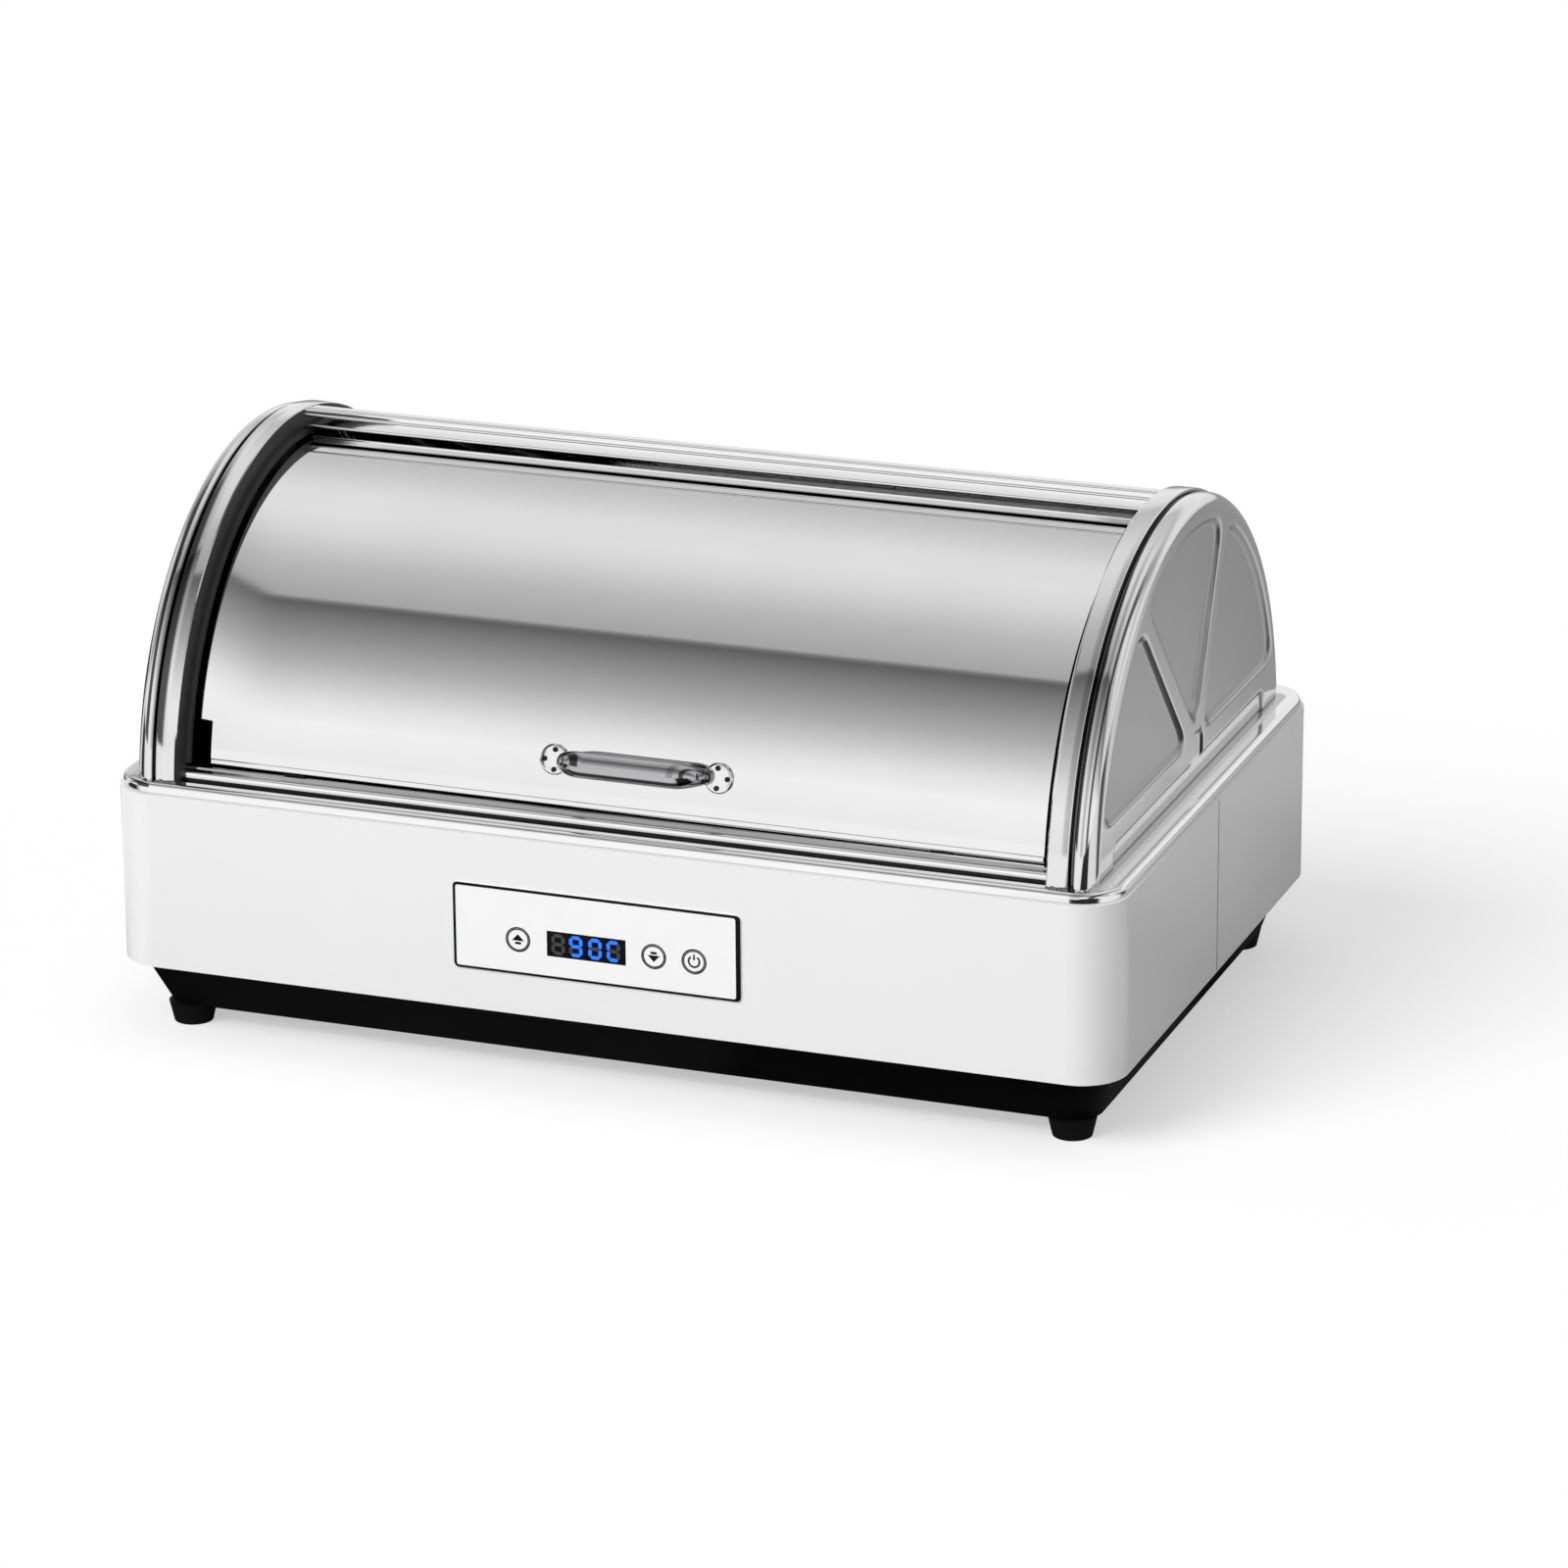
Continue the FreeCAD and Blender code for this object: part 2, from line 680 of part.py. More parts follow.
def make_rim():
    body = new_body("rim")
    well = rounded_sketch(body, "rim_well", "WELL_X + rim_sheet", "WELL_Y + rim_sheet",
                          "well_corner + rim_sheet", "LEDGE - rim_sheet", cy="arch_centre")
    pad(body, well, "well_drop + rim_sheet")
    band = rounded_sketch(body, "rim_band_outline", "housing_width / 2 - rim_inset",
                          "housing_depth / 2 - rim_inset", "rim_corner", "TOP")
    band_pad = pad(body, band, "rim_band")
    doc.recompute()
    deck = measured("DECK")
    half_width = size("housing_width") / 2 - size("rim_inset")
    top_edges = outline_edges(band_pad, half_width, deck)
    rounded = body.newObject("PartDesign::Fillet", "rim_round_outside")
    rounded.Base = (band_pad, top_edges)
    bind(rounded, Radius="rim_round")
    under = new_sketch(body, "rim_under", z="TOP")
    add_rounded(under, "housing_width / 2 - rim_inset - rim_sheet", "housing_depth / 2 - rim_inset - rim_sheet",
                "rim_corner - rim_sheet")
    add_rounded(under, "WELL_X + rim_sheet", "WELL_Y + rim_sheet", "well_corner + rim_sheet",
                cy="arch_centre")
    hollow = pocket(body, under, "rim_band - rim_sheet", upwards=True)
    doc.recompute()
    inner_edges = outline_edges(hollow, half_width - size("rim_sheet"), deck - size("rim_sheet"))
    eased = body.newObject("PartDesign::Fillet", "rim_round_inside")
    eased.Base = (hollow, inner_edges)
    bind(eased, Radius="rim_round - rim_sheet")
    inside = rounded_sketch(body, "rim_inside", "WELL_X", "WELL_Y", "well_corner", "DECK",
                            cy="arch_centre")
    pocket(body, inside, "well_drop")
    mouth = rounded_sketch(body, "rim_mouth", "WELL_X - well_ledge", "WELL_Y - well_ledge",
                           "well_corner", "LEDGE", cy="arch_centre")
    pocket(body, mouth, "rim_sheet")
    finish_body(body, "rim_frame")


def outline_edges(feature, half_width, level):
    """The edges of a level outline of that half width, at that height."""
    half_depth = half_width - size("housing_width") / 2 + size("housing_depth") / 2
    found = []
    for number, edge in enumerate(feature.Shape.Edges, start=1):
        reach = edge.BoundBox
        level_edge = abs(reach.ZMin - level) < 0.01 and abs(reach.ZMax - level) < 0.01
        at_side = abs(max(abs(reach.XMin), abs(reach.XMax)) - half_width) < 0.01
        at_front = abs(max(abs(reach.YMin), abs(reach.YMax)) - half_depth) < 0.01
        if level_edge and (at_side or at_front):
            found.append("Edge%d" % number)
    return found


def make_rim_fasteners():
    studs = []
    nuts = []
    for number, (across, side) in enumerate(rail_places(), start=1):
        x, y = stud_x(across), stud_y(side)
        studs.append(rod("rim_stud_%d" % number, "screw_radius",
                         "rim_band - rim_sheet + housing_wall + 2 * nut_height", x, y,
                         "TOP - housing_wall - 2 * nut_height"))
        body_of_nut = rod("rim_nut_body_%d" % number, "nut_radius", "nut_height", x, y,
                          "TOP - housing_wall - nut_height")
        bore = rod("rim_nut_bore_%d" % number, "screw_radius", "nut_height", x, y,
                   "TOP - housing_wall - nut_height")
        nuts.append(cut("rim_nut_%d" % number, body_of_nut, [bore]))
    keep(group("rim_stud_set", studs), "rim_studs")
    keep(group("rim_nut_set", nuts), "rim_nuts")


# Pans that hang on the rim's ledge

def make_pan(name, slip, deep, seat):
    """A drawn pan whose lip rests at a seat height, with its walls leaning in by the draft."""
    body = new_body(name)
    half_x = "(WELL_X - %s)" % slip
    half_y = "(WELL_Y - %s)" % slip
    lip = rounded_sketch(body, name + "_lip", half_x, half_y, "well_corner", seat, cy="arch_centre")
    pad(body, lip, "pan_sheet")
    outer_x = "(%s - pan_lip)" % half_x
    outer_y = "(%s - pan_lip)" % half_y
    high = rounded_sketch(body, name + "_high", outer_x, outer_y, "pan_corner", seat, cy="arch_centre")
    low = rounded_sketch(body, name + "_low", outer_x + " - pan_draft", outer_y + " - pan_draft",
                         "pan_corner - pan_draft", "%s + pan_sheet - %s" % (seat, deep), cy="arch_centre")
    loft(body, name + "_outside", "AdditiveLoft", high, low)
    brim = rounded_sketch(body, name + "_brim", outer_x + " - pan_sheet", outer_y + " - pan_sheet",
                          "pan_corner - pan_sheet", seat + " + pan_sheet", cy="arch_centre")
    floor = rounded_sketch(body, name + "_floor", outer_x + " - pan_draft - pan_sheet",
                           outer_y + " - pan_draft - pan_sheet", "pan_corner - pan_draft - pan_sheet",
                           "%s + 2 * pan_sheet - %s" % (seat, deep), cy="arch_centre")
    loft(body, name + "_inside", "SubtractiveLoft", brim, floor)
    finish_body(body, name)


def make_pans():
    make_pan("water_pan", "pan_slip", "water_depth", "LEDGE")
    make_pan("food_pan", "(pan_slip + food_step)", "food_depth", "(LEDGE + pan_sheet)")


# Heating parts under the water pan

def make_heating():
    level = "(WATER_BASE - element_radius)"
    half = "ELEMENT_LENGTH / 2"
    runs = [element_run(step) for step in range(4)]
    parts = []
    for step, across in enumerate(runs):
        parts.append(rod("element_run_%d" % (step + 1), "element_radius", "ELEMENT_LENGTH", "-" + half, across,
                         level, ALONG_X))
    for step in range(3):
        side = 1 if step % 2 == 0 else -1
        bend = doc.addObject("Part::Torus", "element_bend_%d" % (step + 1))
        bind(bend, Radius1="ELEMENT_PITCH / 2", Radius2="element_radius")
        bend.Angle3 = 180
        turn = Rotation(Vector(0, 0, 1), -90 * side)
        place(bend, "%d * %s" % (side, half), "arch_centre + (%d) * ELEMENT_PITCH" % (step - 1), level, turn)
        parts.append(bend)
    keep(fuse("element_tube", parts), "heating_element")

    rests = []
    for side in (-1, 1):
        for step, across in enumerate(runs):
            rests.append(box("element_rest_%d_%d" % (side + 2, step), "rest_length", "rest_width", "shield_gap",
                             "%d * ELEMENT_LENGTH / 3 - rest_length / 2" % side, across + " - rest_width / 2",
                             "SHIELD"))
    keep(group("element_rest_set", rests), "element_rests")

    sheet_low = "(SHIELD - shield_sheet)"
    half_x = "(FLOOR_X - shield_margin_side)"
    half_y = "(FLOOR_Y - shield_margin_front)"
    keep(box("shield_plate", "2 * " + half_x, "2 * " + half_y, "shield_sheet", "-" + half_x,
             "arch_centre - " + half_y, sheet_low), "heat_shield")
    posts = []
    for across in (-1, 1):
        for side in (-1, 1):
            posts.append(rod("shield_post_%d_%d" % (across + 2, side + 2), "post_radius",
                             "%s - foot_height - tray_wall" % sheet_low,
                             "%d * (%s - shield_post_inset)" % (across, half_x),
                             "arch_centre + %d * (%s - shield_post_inset)" % (side, half_y),
                             "foot_height + tray_wall"))
    keep(group("shield_post_set", posts), "shield_posts")

    keep(rod("cutout_disc", "cutout_radius", "cutout_height", "0", "arch_centre", "WATER_BASE - cutout_height"),
         "thermal_cutout")
    keep(rod("cutout_post", "cutout_radius / 2", "WATER_BASE - cutout_height - SHIELD", "0",
             "arch_centre", "SHIELD"), "cutout_bracket")
    keep(rod("probe_tube", "probe_radius", "probe_length", "probe_place", "arch_centre",
             "WATER_BASE - probe_radius", ALONG_X), "temperature_probe")
    keep(box("probe_clip_block", "clip_side", "clip_side", "WATER_BASE - 2 * probe_radius - SHIELD",
             "probe_place + (probe_length - clip_side) / 2", "arch_centre - clip_side / 2", "SHIELD"),
         "probe_clip")
    keep(box("terminal_body", "terminal_length", "terminal_width", "terminal_height", "terminal_place",
             "housing_depth / 2 - terminal_inset - terminal_width", "foot_height + tray_wall"), "terminal_block")


def element_run(step):
    return "arch_centre + (%g) * ELEMENT_PITCH" % (step - 1.5)


# End caps: one pressed sheet each, with a stepped band, a raised field and three sunk panels

def cap_profile(inset):
    """The cap's section as (outward place, radius) corners, moved inwards by a sheet thickness."""
    band_end = measured("BAND") + size("band_width")
    groove_end = band_end + size("cap_groove")
    bead_end = groove_end + size("cap_bead")
    high = measured("ARCH") - inset
    groove = high - size("cap_groove_depth")
    bead = high - size("cap_bead_drop")
    edge = high - size("cap_edge_drop")
    face = measured("FACE") - size("field_raise") - inset
    soft = size("cap_groove") / 2
    return [(measured("BAND"), 0), (measured("BAND"), high - soft), (measured("BAND") + soft, high),
            (band_end - inset, high), (band_end - inset, groove), (groove_end + inset, groove),
            (groove_end + inset, bead - soft), (groove_end + inset + soft, bead),
            (bead_end - inset - soft, bead), (bead_end - inset, bead - soft), (bead_end - inset, edge),
            (face - soft, edge), (face, edge - soft), (face, 0)]


def turned(profile):
    """A full turn of a section about the lid's axis."""
    centre = Vector(0, size("arch_centre"), measured("CENTRE"))
    points = [Vector(out, centre.y, centre.z + radius) for out, radius in profile]
    outline = Part.Face(Part.makePolygon(points + points[:1]))
    return outline.revolve(centre, Vector(1, 0, 0), 360)


def side_prism(points, low, high):
    """A block between two places along X, from an outline of (forward, up) points about the lid's axis."""
    centre_y = size("arch_centre")
    centre_z = measured("CENTRE")
    corners = [Vector(low, centre_y + across, centre_z + up) for across, up in points]
    return Part.Face(Part.makePolygon(corners + corners[:1])).extrude(Vector(high - low, 0, 0))


def side_disc(radius, low, high):
    centre = Vector(low, size("arch_centre"), measured("CENTRE"))
    return Part.makeCylinder(radius, high - low, centre, Vector(1, 0, 0))


def rounded_ends(block, radius):
    """A block with its edges along X rounded."""
    edges = [edge for edge in block.Edges if edge.BoundBox.YLength < 0.01 and edge.BoundBox.ZLength < 0.01]
    return block.makeFillet(radius, edges)


def field_block(grow, low, high):
    """The raised field of the cap's face: everything inside its arch but the foot strip and the stem."""
    radius = measured("ARCH") - size("field_inset") + grow
    base = size("pivot_drop") + size("field_base") - grow
    middle = size("hub_place")
    stem = size("stem_half") - grow
    top = base + size("stem_height")
    outline = [(-radius, base), (middle - stem, base), (middle - stem, top), (middle + stem, top),
               (middle + stem, base), (radius, base), (radius, radius), (-radius, radius)]
    return rounded_ends(side_disc(radius, low, high).common(side_prism(outline, low, high)), size("field_round"))


def panel_blocks(grow, low, high):
    """The three sunk panels: one between the ribs, one in front of them and one behind them."""
    radius = measured("ARCH") - size("sunk_inset") + grow
    half = size("rib_half") - grow
    front = math.radians(size("rib_lean_front"))
    rear = math.radians(size("rib_lean_rear"))
    base = size("pivot_drop") + size("panel_base")
    middle = size("hub_place")
    hub = base - size("hub_drop")
    reach = 2 * radius
    spread = half / math.sin(front + rear)
    tip_across = middle + spread * (math.sin(rear) - math.sin(front))
    tip_up = hub + spread * (math.cos(rear) + math.cos(front))
    upper = [(tip_across, tip_up),
             (tip_across + reach * math.sin(rear), tip_up + reach * math.cos(rear)),
             (tip_across - reach * math.sin(front), tip_up + reach * math.cos(front))]
    low_edge = base - grow
    lower = []
    for side, lean in ((-1, front), (1, rear)):
        corner = side * middle + (half + (low_edge - hub) * math.sin(lean)) / math.cos(lean)
        lower.append([(side * corner, low_edge), (side * reach, low_edge),
                      (side * reach, low_edge + (reach - corner) / math.tan(lean))])
    round_ends = size("panel_round") + grow
    disc = side_disc(radius, low, high)
    return [rounded_ends(disc.common(side_prism(outline, low, high)), round_ends)
            for outline in (upper, lower[0], lower[1])]


def cap_form(inset):
    """The cap as a block: its own outside, or the hollow behind its sheet."""
    face = measured("FACE") - size("field_raise") - inset
    raised = measured("FACE") - inset
    sunk = measured("FACE") - size("panel_sink") - inset
    form = turned(cap_profile(inset)).fuse(field_block(-inset, face - 1, raised))
    for panel in panel_blocks(inset, sunk, raised + 1):
        form = form.cut(panel)
    return form


def make_end_caps():
    sheet = size("cap_sheet")
    deck = measured("DECK")
    reach = measured("CENTRE") + measured("ARCH")
    ring_hole = side_disc(measured("ARCH") - size("cap_ring"), measured("BAND") - 1,
                          measured("BAND") + sheet + 1)
    hollow = cap_form(sheet).cut(side_disc(reach, measured("BAND") - 1, measured("BAND") + sheet))
    cap = cap_form(0).cut(hollow).cut(ring_hole)
    cap = cap.cut(Part.makeBox(2 * reach, 4 * reach, 2 * reach, Vector(0, -2 * reach, deck - 2 * reach)))
    cap = cap.fuse(cap_foot(deck))
    for name, side in (("end_cap_left", -1), ("end_cap_right", 1)):
        thing = doc.addObject("Part::Feature", name + "_pressing")
        thing.Shape = cap if side > 0 else cap.mirror(Vector(0, 0, 0), Vector(1, 0, 0))
        keep(thing, name)


def cap_foot(deck):
    """The flange along the cap's foot that lies on the rim's deck."""
    across = math.sqrt((measured("ARCH") - size("cap_edge_drop")) ** 2 - size("pivot_drop") ** 2)
    face = measured("FACE") - size("field_raise") - size("cap_sheet")
    corner = Vector(face, size("arch_centre") - across, deck)
    return Part.makeBox(size("cap_sheet") + size("cap_foot"), 2 * across, size("cap_sheet"), corner)


# Pieces on both sides, given by how far they reach from the middle plane

def span(side, near, far):
    """The low corner along X and the length of a piece between two distances on one side."""
    return (near if side > 0 else "-(%s)" % far), "(%s) - (%s)" % (far, near)


def side_rod(name, side, radius, near, far):
    corner, length = span(side, near, far)
    return rod(name, radius, length, corner, "arch_centre", "CENTRE", ALONG_X)


def side_box(name, side, near, far, width, height, y, z):
    corner, length = span(side, near, far)
    return box(name, length, width, height, corner, y, z)


def shifted(thing, side, distance):
    """Move a piece made about the middle plane out to a distance on one side."""
    thing.setExpression("Placement.Base.x", tied("%d * (%s)" % (side, distance)))
    return thing


# Parts fixed between the caps

def foot_angle(radius, level):
    """The angle above the front at which a radius about the lid's axis meets a level above that axis."""
    return math.degrees(math.asin(level / radius))


def lid_low():
    """The angle above the front of the closed lid's lower edge."""
    return math.degrees(math.asin(measured("LOW_SINE")))


def make_arch_seals():
    """A rubber bead on the inner edge of each cap's ring, from the sill over the crest to the rear."""
    inner = measured("LID + seal_gap")
    low = foot_angle(inner, measured("pivot_drop + sill_height")) + 1
    high = foot_angle(inner, size("pivot_drop"))
    for name, side in SIDES:
        ring = curved_sheet("seal_" + name, "ARCH - cap_ring", "LID + seal_gap", low, "%g" % (180 - low - high),
                            "(seal_width + cap_sheet) / 2")
        keep(shifted(ring, side, "BAND + (cap_sheet - seal_width) / 2"), "arch_seal_" + name)


def make_rear_cover():
    start = 90 + size("bar_angle")
    inner = measured("COVER - cover_sheet")
    low = foot_angle(inner, size("pivot_drop"))
    skin = curved_sheet("cover_skin", "COVER", "COVER - cover_sheet", start, "%g" % (180 - low - start), "BAND")
    back = "arch_centre + %g" % (inner * math.cos(math.radians(low)))
    foot = box("cover_foot_strip", "2 * BAND", "cover_foot", "cover_sheet", "-BAND", back, "DECK")
    keep(fuse("cover_whole", [skin, foot]), "rear_cover")


def make_top_bar():
    """A folded bar just behind the crest: a front face with a rolled lower edge, a curved top and a rear wall."""
    top = measured("ARCH - bar_ridge")
    start = 90 + math.degrees(math.asin((size("bar_place") + size("bar_wall") / 4) / top))
    end = 90 + size("bar_angle")
    wall_sweep = math.degrees(size("bar_wall") / top)
    face = "arch_centre + bar_place"
    parts = [box("bar_face", "2 * BAND", "bar_wall", "ARCH - bar_ridge - bar_wall / 2 - LID - bar_gap - bar_lip",
                 "-BAND", face, "CENTRE + LID + bar_gap + bar_lip"),
             rod("bar_lip_roll", "bar_lip", "2 * BAND", "-BAND", face + " + bar_wall / 2",
                 "CENTRE + LID + bar_gap + bar_lip", ALONG_X),
             curved_sheet("bar_sheet", "ARCH - bar_ridge", "ARCH - bar_ridge - bar_wall", start,
                          "%g" % (end - start), "BAND"),
             curved_sheet("bar_wall", "ARCH - bar_ridge", "COVER", end - wall_sweep, "%g" % wall_sweep, "BAND"),
             rod("bar_ridge_front", "bar_ridge", "2 * BAND", "-BAND", face,
                 "CENTRE + ARCH - bar_ridge - bar_ridge_drop", ALONG_X),
             rod("bar_ridge_top", "bar_ridge", "2 * BAND", "-BAND",
                 "arch_centre + (ARCH - bar_ridge) * sin(bar_ridge_turn * 1 deg)",
                 "CENTRE + (ARCH - bar_ridge) * cos(bar_ridge_turn * 1 deg)", ALONG_X)]
    keep(fuse("bar_whole", parts), "top_bar")


def make_front_sill():
    """A folded strip along the front of the deck, open underneath."""
    body = new_body("sill")
    outline = new_sketch(body, "sill_outline", z="DECK")
    add_rectangle(outline, "BAND", "sill_width / 2", cy="SILL_BACK - sill_width / 2")
    block = pad(body, outline, "sill_height")
    doc.recompute()
    top_edges = []
    for number, edge in enumerate(block.Shape.Edges, start=1):
        if edge.BoundBox.XLength > measured("BAND") and edge.BoundBox.ZMin > measured("DECK + sill_height / 2"):
            top_edges.append("Edge%d" % number)
    eased = body.newObject("PartDesign::Fillet", "sill_round")
    eased.Base = (block, top_edges)
    bind(eased, Radius="1.5 * cap_sheet")
    hollow = new_sketch(body, "sill_hollow", z="DECK")
    add_rectangle(hollow, "BAND", "sill_width / 2 - cap_sheet", cy="SILL_BACK - sill_width / 2")
    pocket(body, hollow, "sill_height - cap_sheet", upwards=True)
    finish_body(body, "front_sill")


def make_lid_bumpers():
    """Two rubber pads on the sill just under the closed lid's hem."""
    pads = []
    for name, side in SIDES:
        pads.append(box("bumper_" + name, "bumper_width", "bumper_depth", "lid_lift - bumper_gap",
                        "%d * (LID_X - bumper_inset) - bumper_width / 2" % side,
                        "SILL_BACK - 1.5 * cap_sheet - bumper_depth", "DECK + sill_height"))
    keep(group("bumper_pair", pads), "lid_bumpers")


# Pivots: a bracket with a bush on each side, and a pin on the lid's arm

def make_pivot_brackets():
    for name, side in SIDES:
        leg = side_box("bracket_leg_" + name, side, "LEG", "LEG + bracket_sheet", "2 * bracket_half",
                       "pivot_drop + bracket_below + bracket_sheet", "arch_centre - bracket_half",
                       "CENTRE - bracket_below")
        tab = side_box("bracket_tab_" + name, side, "LEG", "LEG + bracket_reach", "2 * bracket_half",
                       "bracket_sheet", "arch_centre - bracket_half", "DECK")
        bore = side_rod("bracket_bore_" + name, side, "BORE + bush_wall", "LEG - bracket_sheet",
                        "LEG + 2 * bracket_sheet")
        keep(cut("bracket_" + name, fuse("bracket_plate_" + name, [leg, tab]), [bore]), "pivot_bracket_" + name)


def make_pivot_bushes():
    for name, side in SIDES:
        sleeve = side_rod("bush_sleeve_" + name, side, "BORE + bush_wall", "LEG", "LEG + bracket_sheet")
        lip = side_rod("bush_lip_" + name, side, "bush_flange", "LEG - bush_lip", "LEG")
        bore = side_rod("bush_bore_" + name, side, "BORE", "LEG - 2 * bush_lip", "LEG + 2 * bracket_sheet")
        keep(cut("bush_" + name, fuse("bush_whole_" + name, [sleeve, lip]), [bore]), "pivot_bush_" + name)


def make_pivot_pins():
    for name, side in SIDES:
        shoulder_end = "LEG - bush_lip - pin_gap"
        shoulder = side_rod("pin_shoulder_" + name, side, "pin_shoulder", "ARM_OUTSIDE", shoulder_end)
        journal = side_rod("pin_journal_" + name, side, "pin_radius", shoulder_end,
                           "LEG + bracket_sheet - bracket_clear / 2")
        stub = side_rod("pin_stub_" + name, side, "pin_stub", "ARM_OUTSIDE - arm_sheet", "ARM_OUTSIDE")
        head = side_rod("pin_head_" + name, side, "pin_head", "ARM_OUTSIDE - arm_sheet - pin_head_height",
                        "ARM_OUTSIDE - arm_sheet")
        keep(fuse("pin_whole_" + name, [shoulder, journal, stub, head]), "pivot_pin_" + name)


# Lid and its arms

def make_lid_arms():
    low = lid_low() + size("notch_angle")
    for name, side in SIDES:
        ring = curved_sheet("arm_ring_" + name, "LID - lid_sheet", "LID - lid_sheet - arm_rib", low,
                        "90 + lid_past - %g" % low, "arm_sheet / 2")
        spoke = doc.addObject("Part::Box", "arm_spoke_" + name)
        bind(spoke, Length="arm_sheet", Width="LID - lid_sheet - arm_rib / 2", Height="2 * arm_half")
        place(spoke, "-arm_sheet / 2", "arch_centre + arm_half * sin(arm_angle * 1 deg)",
              "CENTRE + arm_half * cos(arm_angle * 1 deg)", Rotation(Vector(1, 0, 0), 180 - size("arm_angle")))
        eye = rod("arm_eye_" + name, "eye_radius", "arm_sheet", "-arm_sheet / 2", "arch_centre", "CENTRE", ALONG_X)
        bore = rod("arm_bore_" + name, "pin_stub", "3 * arm_sheet", "-1.5 * arm_sheet", "arch_centre", "CENTRE",
                   ALONG_X)
        arm = cut("arm_" + name, fuse("arm_whole_" + name, [ring, spoke, eye]), [bore])
        keep(shifted(arm, side, "ARM_OUTSIDE - arm_sheet / 2"), "lid_arm_" + name)


def make_lid_shell():
    low = lid_low()
    high = 90 + size("lid_past")
    lip_sweep = math.degrees(size("lid_sheet") / measured("LID"))
    skin = curved_sheet("lid_skin", "LID", "LID - lid_sheet", low, "%g" % (high - low), "LID_X")
    lip = curved_sheet("lid_lip", "LID + lid_lip", "LID - lid_sheet", high - lip_sweep, "%g" % lip_sweep, "LID_X")
    hem = curved_sheet("lid_hem", "LID", "LID - hem_depth", low, "hem_angle",
                       "LID_X - notch_width")
    tools = rivet_rods("lid_rivet_hole", "rivet_radius", "-2 * hem_depth", "hem_depth")
    notch = curved_sheet("lid_notch", "LID + hem_depth", "LID - 2 * hem_depth", low - 1, "notch_angle + 1",
                         "notch_width")
    tools.append(shifted(notch, -1, "LID_X"))
    keep(cut("lid_cut", fuse("lid_skin_and_folds", [skin, hem, lip]), tools), "lid_shell")


# Handle: an oval grip on two round plates, riveted to the lid

def on_lid(thing, across, angle, out):
    """Stand a piece on the lid: beside the handle's middle, at an angle above the front, off the lid's skin."""
    lift = "(LID + (%s))" % out
    return place(thing, "handle_place + (%s)" % across, "arch_centre - %s * cos((%s) * 1 deg)" % (lift, angle),
                 "CENTRE + %s * sin((%s) * 1 deg)" % (lift, angle), thing.Placement.Rotation)


def standing_rod(name, radius, across, lean, low, high):
    """A rod square to the lid, some degrees above the handle, between two distances from the lid's skin."""
    thing = doc.addObject("Part::Cylinder", name)
    bind(thing, Radius=radius, Height="(%s) - (%s)" % (high, low))
    thing.Placement.Rotation = Rotation(Vector(1, 0, 0), 90 - size("handle_angle") - lean)
    return on_lid(thing, across, "handle_angle + %g" % lean, low)


def rivet_rods(name, radius, low, high):
    """One rod for each rivet: three round each end of the handle, clear of the grip."""
    rods = []
    for side in (-1, 1):
        for turn in (-95, 0, 95):
            across = size("rivet_circle") * math.cos(math.radians(turn))
            lean = math.degrees(size("rivet_circle") * math.sin(math.radians(turn)) / measured("LID"))
            rods.append(standing_rod("%s_%d_%d" % (name, side + 2, turn + 95), radius,
                                     "%d * (handle_half + %g)" % (side, across), lean, low, high))
    return rods


def make_handle():
    body = new_body("grip")
    half = "(handle_half - handle_ear)"
    section = new_sketch(body, "grip_section", z="-lid_sheet / 2")
    add_rounded(section, "handle_thick / 2", "handle_tall / 2", "handle_thick / 2 - rivet_rise / 4", cx="-" + half)
    path = new_sketch(body, "grip_path", "XZ_Plane")
    add_bow(path, half, "-lid_sheet / 2", "handle_reach", "handle_bend")
    grip = body.newObject("PartDesign::AdditivePipe", "grip_sweep")
    grip.Profile = section
    grip.Spine = path
    body.Placement.Rotation = Rotation(Vector(1, 0, 0), 90 - size("handle_angle"))
    on_lid(body, "0", "handle_angle", "0")
    doc.recompute()
    skin = rod("grip_seat", "LID", "2 * handle_half", "handle_place - handle_half", "arch_centre", "CENTRE",
               ALONG_X)
    bar = keep(cut("grip_seated", body, [skin]), "handle_bar")

    for name, side in SIDES:
        disc = standing_rod("rosette_disc_" + name, "rosette_radius", "%d * handle_half" % side, 0,
                            "-rosette_height", "2 * rosette_height")
        band = curved_sheet("rosette_band_" + name, "LID + rosette_height", "LID",
                            size("handle_angle") - 10, "20", "LID_X")
        plate = doc.addObject("Part::MultiCommon", "rosette_plate_" + name)
        plate.Shapes = [disc, band]
        holes = rivet_rods("rosette_hole_" + name, "rivet_radius", "-rosette_height", "2 * rosette_height")
        keep(cut("rosette_" + name, plate, [bar] + holes), "handle_rosette_" + name)

    shanks = rivet_rods("rivet_shank", "rivet_radius", "-lid_sheet - rivet_seat - rivet_rise",
                        "rosette_height + rivet_rise")
    inner = rivet_rods("rivet_inner", "rivet_head", "-lid_sheet - rivet_seat - rivet_rise",
                       "-lid_sheet - rivet_seat")
    outer = rivet_rods("rivet_outer", "rivet_head", "rosette_height", "rosette_height + rivet_rise")
    rivets = [fuse("rivet_%d" % number, list(parts))
              for number, parts in enumerate(zip(shanks, inner, outer), start=1)]
    keep(group("rivet_set", rivets), "handle_rivets")


